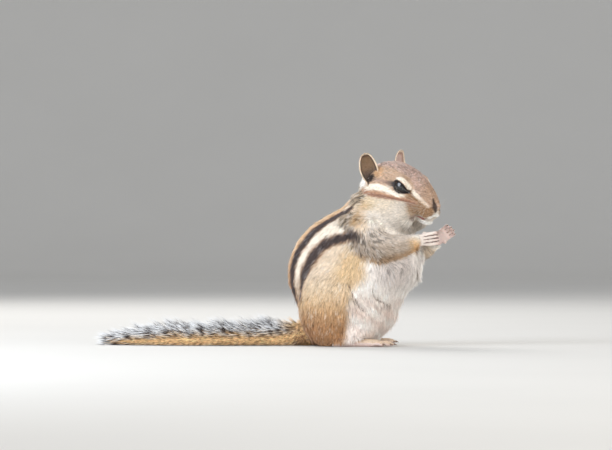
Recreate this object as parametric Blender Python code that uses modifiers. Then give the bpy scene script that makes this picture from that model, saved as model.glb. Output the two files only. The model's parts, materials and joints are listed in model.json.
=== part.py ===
"""A chipmunk that sits upright with its hands before its mouth, as a life-size museum model.

Run it with blender --background --python part.py. The body faces +X, its right side is at -Y, and
the floor is Z = 0. Every size below is in millimetres, and the finished pieces are scaled to metres
and centred over the floor. One smooth body is fused from plain shapes and parted with thin cuts.
"""

import math
import random
from typing import NamedTuple

import bmesh
import bpy
import numpy as np
from mathutils import Matrix, Vector
from mathutils.bvhtree import BVHTree

MM = 0.001
GAP = 0.3  # between the faces where two pieces meet

# Head: the point midway between the eyes, and how the head is turned, tipped and tilted.
BETWEEN_EYES = Vector((31.5, -8.0, 80.6))
HEAD_TURN = math.radians(-36)
HEAD_NOD = math.radians(10)
HEAD_TILT = math.radians(3.5)
HEAD = (
    Matrix.Translation(BETWEEN_EYES)
    @ Matrix.Rotation(HEAD_TURN, 4, "Z")
    @ Matrix.Rotation(HEAD_NOD, 4, "Y")
    @ Matrix.Rotation(HEAD_TILT, 4, "X")
)

EYE_RADIUS = 4.6
EYE_PLACE = (2.0, 6.7, 0.2)  # of the left eyeball's centre in the head: ahead, to the side, up
LID_RADIUS = 0.6
LID_OPENING = (4.7, 3.2)  # half its length and half its height
LID_SLANT = math.radians(-16)  # the front corner is the lower one

EAR_BASE = {"right": (-14.9, -10.4, 0.2), "left": (-13.4, 11.4, 0.6)}
EAR_UP = {"right": (-0.16, -0.36, 0.92), "left": (-0.08, 0.22, 0.97)}
EAR_FACES = {"right": (0.72, -0.66, -0.12), "left": (1.0, -0.05, -0.1)}
EAR_LENGTH = 13.6
EAR_WIDTH = 8.6
EAR_WALL = 0.9
EAR_SUNK = 3.0

MOUTH = ((7.5, 6.2, -13.4), (11.5, 5.4, -14.2), (15.0, 3.2, -14.0), (17.2, 0.0, -13.4))
GROOVE = 0.42  # radius of the line of the mouth

SEED = 7


class Section(NamedTuple):
    """One slice of the trunk: its back and belly in the side view, half its width, and its turn."""

    back_x: float
    back_z: float
    belly_x: float
    belly_z: float
    half_width: float
    turn: float  # degrees towards the animal's right


TRUNK = [
    Section(-13.5, -2.0, 9.0, -2.0, 8.0, 4),
    Section(-19.0, 5.0, 17.5, 3.0, 15.5, 5),
    Section(-24.6, 16.0, 25.5, 12.0, 19.5, 6),
    Section(-27.6, 26.5, 28.5, 20.0, 21.5, 7),
    Section(-28.8, 36.0, 32.5, 27.0, 22.0, 9),
    Section(-27.5, 45.5, 38.0, 32.0, 21.0, 12),
    Section(-23.6, 54.0, 42.0, 38.5, 19.5, 16),
    Section(-17.8, 60.6, 41.5, 46.0, 17.8, 20),
    Section(-9.5, 65.8, 37.0, 54.0, 16.2, 24),
    Section(-1.0, 70.8, 33.0, 62.0, 14.4, 28),
    Section(4.5, 77.5, 31.0, 71.0, 12.4, 32),
]


class HeadSlice(NamedTuple):
    """One slice across the head: how far ahead of the eyes, its top, its bottom, half its width."""

    ahead: float
    top: float
    bottom: float
    half_width: float


SKULL = [
    HeadSlice(-25.0, 0.0, -12.0, 6.5),
    HeadSlice(-21.0, 6.0, -17.0, 10.5),
    HeadSlice(-14.0, 9.6, -19.5, 12.4),
    HeadSlice(-7.0, 10.6, -19.5, 12.2),
    HeadSlice(0.0, 9.4, -18.5, 10.9),
    HeadSlice(6.0, 7.0, -17.2, 8.6),
    HeadSlice(11.0, 3.8, -15.8, 6.6),
    HeadSlice(15.0, 0.3, -15.2, 4.9),
    HeadSlice(17.8, -3.0, -13.6, 3.6),
    HeadSlice(19.8, -6.2, -11.4, 2.0),
]


class Limb(NamedTuple):
    """A limb's joints from the root out, and its thickness at each."""

    points: tuple
    radii: tuple


ARM = {
    "right": Limb(
        ((11, -12.5, 58), (14.5, -18, 51.5), (23, -20.2, 49.8), (36, -17.6, 52.8)),
        (9.5, 7.8, 6.0, 3.6),
    ),
    "left": Limb(
        ((24, 8, 55), (29, 11, 46.5), (36.5, 7.5, 46), (45.4, 0.3, 52.2)),
        (9.5, 7.4, 5.6, 3.6),
    ),
}
THIGH = {  # centre, half sizes, and tips about Y in degrees
    "right": ((-5.0, -13.0, 21.5), (18.5, 11.2, 22.5), 12),
    "left": ((-3.0, 13.0, 21.5), (18.5, 11.2, 22.5), 12),
}
SHIN = {
    "right": Limb(((2, -14.5, 22), (9, -15.5, 13), (4, -15.8, 6.5), (-3, -16, 5)), (11.5, 8.8, 6.5, 5.0)),
    "left": Limb(((4, 14.5, 22), (11, 15.5, 13), (6, 15.6, 6.5), (-1, 15.5, 5)), (11.5, 8.8, 6.5, 5.0)),
}


class Hand(NamedTuple):
    """A hand from the wrist: where it points, which way its fingers are stacked, and its palm's side."""

    wrist: tuple
    points: tuple
    stacked: tuple
    palm: int


HAND = {
    "right": Hand((36.0, -17.6, 52.8), (0.94, 0.27, 0.12), (-0.12, -0.05, 0.99), -1),
    "left": Hand((45.4, 0.3, 52.2), (0.76, -0.30, 0.58), (-0.60, -0.05, 0.80), 1),
}
# The palm's slices: along the hand, half its width, half its depth
PALM = ((0.0, 2.9, 2.5), (2.2, 2.9, 2.2), (4.2, 3.5, 2.0), (6.2, 3.5, 1.7), (7.2, 2.6, 1.2))
KNUCKLES = 6.2  # along the hand from the wrist
FINGER_LENGTHS = (4.6, 5.6, 5.4, 4.3)
FINGER_RADIUS = 0.95
FINGER_SPACING = 1.65
CLAW_LENGTH = 1.6
CLAW_RADIUS = 0.5

HEEL = {"right": (-6.0, -16.5), "left": (-4.0, 16.0)}
FOOT_TURN = {"right": -7, "left": 8}  # degrees, toes outwards
# The foot's slices: along it from the heel, half its width, half its depth
FOOT = ((-0.5, 1.6, 1.4), (1.5, 2.7, 2.2), (8, 3.1, 2.4), (16, 3.5, 2.3), (22, 4.2, 2.0), (25, 3.6, 1.5))
TOE_BASE = 22.5
TOE_LENGTHS = (5.4, 8.0, 8.8, 8.2, 5.6)
TOE_RADIUS = 1.2
TOE_SPACING = 1.75

TAIL_PATH = (
    (-14, 0.5, 8.5),
    (-22, 0.8, 5.6),
    (-34, 1.2, 3.7),
    (-60, 0.2, 3.1),
    (-86, 2.0, 2.7),
    (-113, 7.0, 2.2),
)
TAIL_RADII = (9.5, 6.2, 4.3, 3.4, 2.8, 1.3)
TAIL_CUTS = (0.12, 0.41, 0.70)  # where the tail is parted, as shares of its length
LOCK_ROWS = ((0.15, 0.38, 5), (0.435, 0.67, 5), (0.725, 0.995, 7))  # first, last, count in each length
LOCKS_IN_ROW = 6
LOCK_LENGTH = 13.6
LOCK_WIDTH = 5.6
LOCK_THICKNESS = 1.1
LOCK_LEAN = math.radians(37)  # from the bone
LOCK_LEAN_AT_TIP = math.radians(10)

HEAD_CUT = (Vector((19.2, 0, 63.8)), Vector((0.56, 0, 0.83)).normalized())  # a point and a normal
NECK_LENGTH = 8.0
LIMB_MARGIN = 0.6  # how much wider than a limb's own form the piece that is parted from the trunk is

HEAD_TRIANGLES = 1600
TRUNK_TRIANGLES = 2500
REGION_TRIANGLES = 260
MENDING_ROUNDS = 6

FUR = {  # colour, roughness
    "back": ((0.42, 0.25, 0.12), 0.85),
    "face": ((0.50, 0.33, 0.19), 0.85),
    "limb": ((0.62, 0.44, 0.26), 0.85),
    "tail": ((0.36, 0.27, 0.19), 0.9),
    "ear": ((0.45, 0.28, 0.18), 0.8),
    "skin": ((0.66, 0.42, 0.35), 0.6),
    "eye": ((0.012, 0.009, 0.008), 0.05),
}
LOOK_OF = {  # the first word of a node's name gives its material
    "torso": "back",
    "neck": "back",
    "head": "face",
    "ear": "ear",
    "eye": "eye",
    "foreleg": "limb",
    "hindleg": "limb",
    "hand": "skin",
    "foot": "skin",
    "tail": "tail",
}


# Small helpers

def spread(rows, count):
    """A smooth curve of count rows through the given rows (Catmull-Rom)."""
    rows = np.array(rows, float)
    padded = np.vstack([2 * rows[0] - rows[1], rows, 2 * rows[-1] - rows[-2]])
    smooth = []
    for place in np.linspace(0, len(rows) - 1, count):
        i = min(int(place), len(rows) - 2)
        t = place - i
        a, b, c, d = padded[i : i + 4]
        bend = (2 * a - 5 * b + 4 * c - d) * t**2 + (3 * b - a - 3 * c + d) * t**3
        smooth.append(0.5 * (2 * b + (c - a) * t + bend))
    return np.array(smooth)


def object_of(name, bm):
    mesh = bpy.data.meshes.new(name)
    bm.to_mesh(mesh)
    bm.free()
    obj = bpy.data.objects.new(name, mesh)
    bpy.context.scene.collection.objects.link(obj)
    return obj


def loft(name, rings):
    """A closed skin through rings of points, capped at both ends."""
    bm = bmesh.new()
    made = [[bm.verts.new(p) for p in ring] for ring in rings]
    count = len(made[0])
    for near, far in zip(made, made[1:]):
        for i in range(count):
            j = (i + 1) % count
            bm.faces.new((near[i], near[j], far[j], far[i]))
    bm.faces.new(made[0][::-1])
    bm.faces.new(made[-1])
    bmesh.ops.recalc_face_normals(bm, faces=bm.faces)
    return object_of(name, bm)


def ellipsoid(name, centre, radii, tip=0.0, frame=None, segments=32):
    """A ball stretched to three half sizes, tipped about Y, in the frame of the head if one is given."""
    bm = bmesh.new()
    bmesh.ops.create_uvsphere(bm, u_segments=segments, v_segments=segments // 2, radius=1)
    place = (frame or Matrix()) @ Matrix.Translation(centre) @ Matrix.Rotation(math.radians(tip), 4, "Y")
    bm.transform(place @ Matrix.Diagonal((*radii, 1)))
    return object_of(name, bm)


def pipe(name, points, radii, steps=6, sides=16):
    """A round pipe with a smooth path and thickness."""
    rows = spread([(*p, r) for p, r in zip(points, radii)], (len(points) - 1) * steps + 1)
    path = [Vector(r[:3]) for r in rows]
    rings = []
    side = Vector((0, 1, 0))
    for i, (centre, row) in enumerate(zip(path, rows)):
        along = (path[min(i + 1, len(path) - 1)] - path[max(i - 1, 0)]).normalized()
        side = (side - along * side.dot(along)).normalized()
        up = along.cross(side)
        angles = (2 * math.pi * k / sides for k in range(sides))
        rings.append([centre + float(row[3]) * (side * math.cos(a) + up * math.sin(a)) for a in angles])
    return loft(name, rings)


def limb(name, points, radii):
    """A pipe with a ball at each end, as pieces to be fused."""
    ends = [ellipsoid(name + "_end", points[i], (radii[i],) * 3, segments=16) for i in (0, -1)]
    return [pipe(name, points, radii), *ends]


def make_active(obj):
    bpy.ops.object.select_all(action="DESELECT")
    obj.select_set(True)
    bpy.context.view_layer.objects.active = obj


def apply(obj, kind, **settings):
    """Adds one modifier and applies it."""
    modifier = obj.modifiers.new(kind, kind)
    for key, value in settings.items():
        setattr(modifier, key, value)
    make_active(obj)
    bpy.ops.object.modifier_apply(modifier=modifier.name)
    return obj


def fuse(name, pieces, voxel, smooth=4):
    """Joins pieces into one surface whose creases are rounded like flesh."""
    make_active(pieces[0])
    for piece in pieces:
        piece.select_set(True)
    bpy.ops.object.join()
    whole = bpy.context.view_layer.objects.active
    whole.name = name
    apply(whole, "REMESH", mode="VOXEL", voxel_size=voxel)
    apply(whole, "SMOOTH", factor=0.5, iterations=smooth)
    return whole


def thin_out(obj, triangles):
    """Lowers the number of faces to about this many triangles."""
    mended(keep_largest(obj))
    apply(obj, "DECIMATE", ratio=min(triangles / len(obj.data.polygons), 1))
    return mended(obj)


def mended(obj):
    """Takes out the spots where the surface touches itself, and closes the holes that this leaves."""
    bm = bmesh.new()
    bm.from_mesh(obj.data)
    bmesh.ops.dissolve_degenerate(bm, edges=bm.edges, dist=0.001)
    bmesh.ops.triangulate(bm, faces=bm.faces)
    for _ in range(MENDING_ROUNDS):
        spots = {v for v in bm.verts if not v.is_manifold}
        spots |= {v for e in bm.edges if len(e.link_faces) != 2 for v in e.verts}
        if not spots:
            break
        bmesh.ops.delete(bm, geom=list(spots), context="VERTS")
        bmesh.ops.holes_fill(bm, edges=[e for e in bm.edges if len(e.link_faces) == 1], sides=0)
        bmesh.ops.triangulate(bm, faces=bm.faces)
        bmesh.ops.recalc_face_normals(bm, faces=bm.faces)
    bm.to_mesh(obj.data)
    bm.free()
    return obj


def copy_of(obj, name):
    made = obj.copy()
    made.data = obj.data.copy()
    made.name = name
    bpy.context.scene.collection.objects.link(made)
    return made


def boolean(obj, other, operation, keep=False):
    """Cuts or joins obj with another closed mesh."""
    apply(obj, "BOOLEAN", object=other, operation=operation, solver="MANIFOLD")
    if not keep:
        bpy.data.objects.remove(other)
    return obj


def join_all(obj, pieces):
    """One Boolean union of obj with a collection of closed pieces."""
    extra = bpy.data.collections.new("pieces_of_" + obj.name)
    bpy.context.scene.collection.children.link(extra)
    for piece in pieces:
        bpy.context.scene.collection.objects.unlink(piece)
        extra.objects.link(piece)
    apply(obj, "BOOLEAN", operand_type="COLLECTION", collection=extra, operation="UNION", solver="MANIFOLD")
    for piece in pieces:
        bpy.data.objects.remove(piece)
    bpy.data.collections.remove(extra)
    return obj


def keep_largest(obj):
    """Leaves only the largest closed surface of a mesh."""
    bm = bmesh.new()
    bm.from_mesh(obj.data)
    left = set(bm.faces)
    shells = []
    while left:
        todo = [left.pop()]
        shell = list(todo)
        while todo:
            face = todo.pop()
            for edge in face.edges:
                for near in edge.link_faces:
                    if near in left:
                        left.remove(near)
                        todo.append(near)
                        shell.append(near)
        shells.append(shell)
    shells.sort(key=len)
    loose = [face for shell in shells[:-1] for face in shell]
    bmesh.ops.delete(bm, geom=loose, context="FACES")
    bmesh.ops.delete(bm, geom=[v for v in bm.verts if not v.link_faces], context="VERTS")
    bm.to_mesh(obj.data)
    bm.free()
    return obj


def half_space(point, normal, size=400.0):
    """A large block that fills the side of a plane that its normal points to."""
    bm = bmesh.new()
    bmesh.ops.create_cube(bm, size=size)
    turn = Vector((0, 0, 1)).rotation_difference(Vector(normal).normalized()).to_matrix().to_4x4()
    bm.transform(Matrix.Translation(point) @ turn @ Matrix.Translation((0, 0, size / 2)))
    return object_of("side", bm)


def grown(obj, by, take=False):
    """Obj, or a copy of it, with its surface standing out by this much, as a cutter that leaves a gap."""
    made = obj if take else copy_of(obj, obj.name + "_grown")
    return apply(made, "DISPLACE", strength=by, mid_level=0)


def slab(obj, name, point, normal):
    """What of obj lies past a plane."""
    return boolean(copy_of(obj, name), half_space(point, normal), "INTERSECT")


def ring_at(centre, across, deep, half_across, half_deep, sides=12):
    """An oval ring of points."""
    angles = (2 * math.pi * k / sides for k in range(sides))
    return [centre + across * (half_across * math.cos(a)) + deep * (half_deep * math.sin(a)) for a in angles]


def digit(name, points, radius, sides=6):
    """A finger or toe through three points: round, a little thicker at its pad, with a blunt end."""
    thickness = (1.05, 0.95, 1.0, 0.95, 0.55)
    last = len(thickness) - 1
    path = [Vector(row) for row in spread([tuple(p) for p in points], last + 1)]
    rings = []
    for i, (centre, share) in enumerate(zip(path, thickness)):
        along = (path[min(i + 1, last)] - path[max(i - 1, 0)]).normalized()
        across = along.cross(Vector((0.1, 0.2, 1))).normalized()
        rings.append(ring_at(centre, across, along.cross(across), radius * share, radius * share, sides))
    return loft(name, rings)


def claw(name, base, along, down):
    """A curved claw that tapers to a point, with its root sunk in the digit."""
    rings = []
    for share in (0.0, 0.5, 1.0):
        centre = base + along * (CLAW_LENGTH * (share - 0.25)) + down * (0.5 * share**2)
        across = along.cross(down).normalized()
        size = CLAW_RADIUS * (1 - 0.82 * share)
        rings.append(ring_at(centre, across, down, size * 0.8, size, sides=4))
    return loft(name, rings)


# The fused body

def section_rings():
    rings = []
    for back_x, back_z, belly_x, belly_z, half_width, turn in spread(TRUNK, 44):
        back, belly = Vector((back_x, 0, back_z)), Vector((belly_x, 0, belly_z))
        centre, depth = (back + belly) / 2, (belly - back) / 2
        turned = Matrix.Rotation(-math.radians(turn), 3, "Z")
        ring = []
        for k in range(48):
            angle = 2 * math.pi * k / 48
            egg = half_width * (1 + 0.08 * math.cos(angle))
            ring.append(centre + turned @ (depth * math.cos(angle) + Vector((0, egg * math.sin(angle), 0))))
        rings.append(ring)
    return rings


def skull_rings():
    rings = []
    for ahead, top, bottom, half_width in spread(SKULL, 36):
        middle, half_height = (top + bottom) / 2, (top - bottom) / 2
        ring = []
        for k in range(40):
            angle = 2 * math.pi * k / 40
            side = half_width * math.copysign(abs(math.cos(angle)) ** 0.9, math.cos(angle))
            ring.append(HEAD @ Vector((ahead, side, middle + half_height * math.sin(angle))))
        rings.append(ring)
    return rings


def head_mass():
    """The skull with its cheeks and the full throat under them."""
    forms = [loft("skull", skull_rings())]
    for side in (-1, 1):
        forms.append(ellipsoid("cheek", (-4.0, side * 7.6, -14.0), (14.5, 8.4, 11.0), tip=8, frame=HEAD))
        forms.append(ellipsoid("jowl", (-12.0, side * 6.0, -21.0), (13.5, 9.5, 10.5), tip=-10, frame=HEAD))
    return forms


def face_forms():
    """What stands out from the head: muzzle, chin, nose pad, brows and the swell of each eye."""
    forms = [loft("skull", skull_rings())]
    swell = (EYE_RADIUS + GAP + LID_RADIUS,) * 3
    for side in (-1, 1):
        eye = eye_centre(side)
        over_eye = eye + Vector((-1.2, side * 0.2, 2.5))
        under_eye = eye + Vector((0.5, side * 0.4, -2.9))
        forms += [
            ellipsoid("muzzle", (14.4, side * 2.6, -11.0), (4.8, 3.2, 4.0), tip=14, frame=HEAD),
            ellipsoid("brow", over_eye, (6.4, 2.7, 2.5), tip=6, frame=HEAD),
            ellipsoid("lower_lid", under_eye, (6.4, 2.6, 2.4), tip=14, frame=HEAD),
            ellipsoid("eye_swell", eye, swell, frame=HEAD),
        ]
    forms.append(ellipsoid("chin", (12.4, 0, -15.4), (4.8, 3.4, 2.6), tip=12, frame=HEAD))
    forms.append(ellipsoid("nose_pad", (18.7, 0, -8.0), (2.0, 2.0, 2.2), tip=20, frame=HEAD))
    return forms


def trunk_forms():
    """The trunk with haunches, shins, shoulders, arms and the root of the tail."""
    forms = [loft("trunk", section_rings())]
    for side in ("right", "left"):
        centre, radii, tip = THIGH[side]
        forms.append(ellipsoid("thigh", centre, radii, tip=tip))
        forms += limb("shin", *SHIN[side])
        forms += limb("arm", *ARM[side])
    forms += limb("tail_bone", TAIL_PATH[:4], TAIL_RADII[:4])
    return forms


def fused_body():
    flesh = fuse("flesh", trunk_forms() + head_mass(), voxel=0.8, smooth=26)
    return fuse("body", [flesh, *face_forms()], voxel=0.5, smooth=6)


# Head, eyes and ears

def eye_centre(side):
    """Where an eyeball sits in the head, the right one at side -1."""
    return Vector(EYE_PLACE) * Vector((1, side, 1))


def eyeball(name, side, radius, segments=24):
    return ellipsoid(name, eye_centre(side), (radius,) * 3, frame=HEAD, segments=segments)


def lid_point(side, angle, reach, stretch=1.0):
    """A point of the opening between the lids, at this distance from the middle of the eye."""
    half_long, half_high = LID_OPENING
    along, up = stretch * half_long * math.cos(angle), stretch * half_high * math.sin(angle)
    ahead = along * math.cos(LID_SLANT) - up * math.sin(LID_SLANT)
    height = along * math.sin(LID_SLANT) + up * math.cos(LID_SLANT)
    out = math.sqrt(max(reach**2 - ahead**2 - height**2, 0.1))
    return eye_centre(side) + Vector((ahead, side * out, height))


def lid_ring(side, steps=22, sides=5):
    """The rolled edge of both lids, a closed ring round the eye."""
    centre = HEAD @ eye_centre(side)
    reach = EYE_RADIUS + GAP + LID_RADIUS
    path = [HEAD @ lid_point(side, 2 * math.pi * k / steps, reach) for k in range(steps)]
    bm = bmesh.new()
    made = []
    for i, place in enumerate(path):
        out = (place - centre).normalized()
        along = (path[(i + 1) % steps] - path[i - 1]).normalized()
        ring = ring_at(place, out, along.cross(out), LID_RADIUS, LID_RADIUS, sides)
        made.append([bm.verts.new(p) for p in ring])
    for i in range(steps):
        near, far = made[i], made[(i + 1) % steps]
        for k in range(sides):
            j = (k + 1) % sides
            bm.faces.new((near[k], near[j], far[j], far[k]))
    bmesh.ops.recalc_face_normals(bm, faces=bm.faces)
    return object_of("lids", bm)


def lid_window(side):
    """The cutter that opens the lids, widening outwards from inside the eye."""
    rings = []
    for shift, stretch in ((-0.5, 0.8), (0.0, 1.0), (1.0, 1.02), (5.0, 1.02)):
        points = [lid_point(side, 2 * math.pi * k / 16, EYE_RADIUS + GAP, stretch) for k in range(16)]
        rings.append([HEAD @ (p + Vector((0, side * shift, 0))) for p in points])
    return loft("window", rings)


def mouth_line(tree):
    """A thin round cutter laid along the closed mouth, just in the surface."""
    half = [Vector(p) for p in MOUTH]
    path = [Vector((p.x, -p.y, p.z)) for p in half] + half[-2::-1]
    placed = [tree.find_nearest(HEAD @ p)[0] for p in path]
    sizes = [GROOVE * share for share in (0.5, 0.9, 1.0, 1.0, 1.0, 0.9, 0.5)]
    return pipe("mouth", [tuple(p) for p in placed], sizes, steps=3, sides=5)


def philtrum(tree):
    """A thin cutter for the groove from the nose to the mouth."""
    line = ((19.6, 0, -10.0), (18.6, 0, -11.8), (17.4, 0, -13.4))
    placed = [tree.find_nearest(HEAD @ Vector(p))[0] for p in line]
    return pipe("philtrum", [tuple(p) for p in placed], (0.3, 0.34, 0.3), steps=2, sides=5)


def nostril(side):
    place = (19.9, side * 1.2, -8.3)
    return ellipsoid("nostril", place, (1.5, 0.42, 0.8), tip=-20, frame=HEAD, segments=12)


def surface_of(obj):
    bm = bmesh.new()
    bm.from_mesh(obj.data)
    tree = BVHTree.FromBMesh(bm)
    bm.free()
    return tree


def head_from(body):
    """The head with lids, nostrils and the line of the mouth, parted from the neck and the arms."""
    point, normal = HEAD_CUT
    head = slab(body, "head", point - normal * 3, normal)
    thin_out(head, HEAD_TRIANGLES)
    boolean(head, half_space(point, -normal), "DIFFERENCE")
    for side in ("right", "left"):
        boolean(head, arm_region(side, LIMB_MARGIN + GAP), "DIFFERENCE")
    for side in (-1, 1):
        boolean(head, eyeball("socket", side, EYE_RADIUS + GAP, segments=16), "DIFFERENCE")
        boolean(head, lid_window(side), "DIFFERENCE")
    tree = surface_of(head)
    for cutter in (mouth_line(tree), philtrum(tree), nostril(-1), nostril(1)):
        boolean(head, cutter, "DIFFERENCE")
    keep_largest(head)
    return mended(keep_largest(join_all(head, [lid_ring(-1), lid_ring(1)])))


def ear_outline(t):
    """Half the ear's width at a share of its length: a slim foot and a rounded top."""
    if t < 0.45:
        return EAR_WIDTH / 2 * (0.66 + 0.34 * math.sin(max(t, 0) / 0.45 * math.pi / 2))
    return EAR_WIDTH / 2 * math.sqrt(max(1 - ((t - 0.45) / 0.56) ** 2, 0.03))


def ear(name, side, head):
    """An open cup with a rounded rim, its foot rolled into a funnel and set on the head."""
    rows, columns = 8, 8
    up = Vector(EAR_UP[side]).normalized()
    faces = Vector(EAR_FACES[side])
    faces = (faces - up * faces.dot(up)).normalized()
    across = up.cross(faces)
    foot = Vector(EAR_BASE[side])
    bm = bmesh.new()
    layers = {}
    for layer, wall in (("inner", 0.0), ("outer", EAR_WALL)):
        for i in range(rows + 1):
            share = math.sin(i / rows * math.pi / 2)
            height = -EAR_SUNK + (EAR_LENGTH + EAR_SUNK) * share
            t = height / EAR_LENGTH
            wrap = 1.2 + 0.75 * (1 - min(max(t, 0), 1)) ** 2
            half = ear_outline(t)
            for j in range(columns + 1):
                turn = wrap * (2 * j / columns - 1)
                round_part = faces * (-0.62 * math.cos(turn)) + across * math.sin(turn)
                lean = faces * (-0.10 * height * t)
                spot = foot + up * (height + wall * 0.4 * share) + round_part * (half + wall) + lean
                layers[layer, i, j] = bm.verts.new(HEAD @ spot)
    for i in range(rows):
        for j in range(columns):
            inner = [layers["inner", *k] for k in ((i, j), (i, j + 1), (i + 1, j + 1), (i + 1, j))]
            outer = [layers["outer", *k] for k in ((i + 1, j), (i + 1, j + 1), (i, j + 1), (i, j))]
            bm.faces.new(inner)
            bm.faces.new(outer)
    rim = [(i, 0) for i in range(rows)] + [(rows, j) for j in range(columns)]
    rim += [(i, columns) for i in range(rows, 0, -1)] + [(0, j) for j in range(columns, 0, -1)]
    for here, there in zip(rim, rim[1:] + rim[:1]):
        near = [layers[layer, *here] for layer in ("inner", "outer")]
        far = [layers[layer, *there] for layer in ("outer", "inner")]
        bm.faces.new(near + far)
    bmesh.ops.recalc_face_normals(bm, faces=bm.faces)
    made = object_of(name, bm)
    return keep_largest(boolean(made, grown(head, GAP), "DIFFERENCE"))


# Limbs

def region(pieces, extra):
    """A closed form of few faces round a limb, which parts it from the body; extra makes it larger."""
    return grown(thin_out(fuse("region", pieces, voxel=0.8, smooth=2), REGION_TRIANGLES), extra, take=True)


def arm_region(side, extra):
    return region(limb("region", *ARM[side]), extra)


def leg_region(side, extra):
    centre, radii, tip = THIGH[side]
    return region([ellipsoid("region", centre, radii, tip=tip), *limb("region", *SHIN[side])], extra)


def hand(name, side):
    """A hand with its palm, four clawed fingers and the stub of a thumb."""
    wrist, points, stacked, palm_side = HAND[side]
    wrist, along = Vector(wrist), Vector(points).normalized()
    across = (Vector(stacked) - along * Vector(stacked).dot(along)).normalized()
    inwards = along.cross(across) * palm_side
    start = wrist + along * GAP
    made = loft(name, [ring_at(start + along * a, across, inwards, w, d, 12) for a, w, d in PALM])
    pieces = []
    for i, length in enumerate(FINGER_LENGTHS):
        place = i - 1.5
        fan = (along + across * (0.04 * place)).normalized()
        root = start + along * (KNUCKLES - 1.6) + across * (FINGER_SPACING * place) - inwards * 0.3
        bend = root + fan * (length * 0.62 + 1.6) - inwards * 0.15
        tip = root + fan * (length * 0.95 + 1.4) + inwards * (0.26 * length)
        pieces.append(digit("finger", (root, bend, tip), FINGER_RADIUS))
        pieces.append(claw("claw", tip, (fan + inwards * 0.55).normalized(), inwards))
    root = start + along * 2.6 - across * (1.8 * palm_side) + inwards * 0.6
    tip = root + along * 1.6 - across * (1.9 * palm_side) + inwards * 0.8
    pieces.append(digit("thumb", (root, (root + tip) / 2 - inwards * 0.1, tip), 0.85))
    return keep_largest(join_all(made, pieces))


def foot(name, side):
    """A long flat hind foot with five clawed toes, its sole cut flat by the floor."""
    x, y = HEEL[side]
    frame = Matrix.Translation((x, y, 0)) @ Matrix.Rotation(math.radians(FOOT_TURN[side]), 4, "Z")
    along, across, up = (frame.to_3x3() @ Vector(axis) for axis in ((1, 0, 0), (0, 1, 0), (0, 0, 1)))
    rings = [ring_at(frame @ Vector((a, 0, deep - 0.35)), across, up, w, deep, 12) for a, w, deep in FOOT]
    made = loft(name, rings)
    pieces = []
    for i, length in enumerate(TOE_LENGTHS):
        place = i - 2
        root = frame @ Vector((TOE_BASE - 0.7 * abs(place) - 1.2, place * TOE_SPACING, 1.6))
        fan = (along + across * (0.13 * place)).normalized()
        bend = root + fan * (length * 0.6) + up * 0.35
        tip = root + fan * length - up * 0.55
        pieces.append(digit("toe", (root, bend, tip), TOE_RADIUS))
        pieces.append(claw("claw", tip + fan * 0.6 + up * 0.35, fan, -up))
    return keep_largest(join_all(made, pieces))


# Tail

class Bone(NamedTuple):
    """A place on the bone of the tail."""

    centre: Vector
    along: Vector
    radius: float


def bone_at(share):
    rows = spread([(*p, r) for p, r in zip(TAIL_PATH, TAIL_RADII)], 101)
    i = min(max(share, 0) * 100, 99.999)
    low = int(i)
    row = rows[low] * (low + 1 - i) + rows[low + 1] * (i - low)
    along = Vector(rows[low + 1][:3] - rows[low][:3]).normalized()
    return Bone(Vector(row[:3]), along, float(row[3]))


def tail_core(name, first, last, sides=12):
    """A length of the tail's core, cut square at both ends with half the gap at each."""
    count = round((last - first) * 18)
    rings = []
    for k in range(count + 1):
        bone = bone_at(first + (last - first) * k / count)
        across = bone.along.cross(Vector((0, 0, 1))).normalized()
        centre = bone.centre
        if k == 0:
            centre = centre + bone.along * GAP
        rings.append(ring_at(centre, across, across.cross(bone.along), bone.radius, bone.radius, sides))
    return loft(name, rings)


def lock(bone, angle, length, lean, width, roll):
    """A flat lock of long hair with a low ridge that leaves the core and bends back along the tail."""
    across = bone.along.cross(Vector((0, 0, 1))).normalized()
    out = across * math.cos(angle) + across.cross(bone.along) * math.sin(angle)
    flat = Matrix.Rotation(roll, 3, bone.along) @ bone.along.cross(out)
    place = bone.centre + out * (bone.radius * 0.5)
    rings = []
    before = 0.0
    for share, size in ((0.0, 0.4), (0.4, 1.0), (0.75, 0.8), (1.0, 0.05)):
        now = lean * (1.15 - 0.3 * share)
        heading = bone.along * math.cos(now) + out * math.sin(now)
        place = place + heading * ((share - before) * length)
        before = share
        ridge = flat.cross(heading).normalized() * (LOCK_THICKNESS * size)
        half = flat * (width / 2 * size)
        centre = Vector((place.x, place.y, max(place.z, LOCK_THICKNESS)))
        rings.append([centre - half, centre + half, centre + ridge])
    return loft("lock", rings)


def lock_length(share):
    """Long in the middle of the tail, shorter at its root and a little shorter at its tip."""
    return LOCK_LENGTH * (0.62 + 0.38 * math.sin(min(share / 0.45, 1) * math.pi / 2))


def locks(rows, draw):
    first, last, count = rows
    made = []
    for i in range(count):
        share = first + (last - first) * i / (count - 1)
        bone = bone_at(share)
        past = max((share - 0.72) / 0.28, 0)
        lean = LOCK_LEAN + (LOCK_LEAN_AT_TIP - LOCK_LEAN) * past
        for k in range(LOCKS_IN_ROW):
            place = (k + 0.5 * (i % 2)) / (LOCKS_IN_ROW - 0.5)
            angle = math.radians(-12 + 204 * place)
            size = lock_length(share) * draw.uniform(0.9, 1.06)
            roll = draw.uniform(-0.25, 0.25)
            tilt = lean * draw.uniform(0.94, 1.06)
            made.append(lock(bone, angle, size, tilt, LOCK_WIDTH * draw.uniform(0.9, 1.1), roll))
    return made


def tail_length(name, first, last, rows, draw):
    core = tail_core(name, first, last)
    return keep_largest(join_all(core, locks(rows, draw)))


# Nodes

def cut_at_floor(obj):
    return keep_largest(boolean(obj, half_space(Vector((0, 0, 0)), (0, 0, -1)), "DIFFERENCE"))


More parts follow.
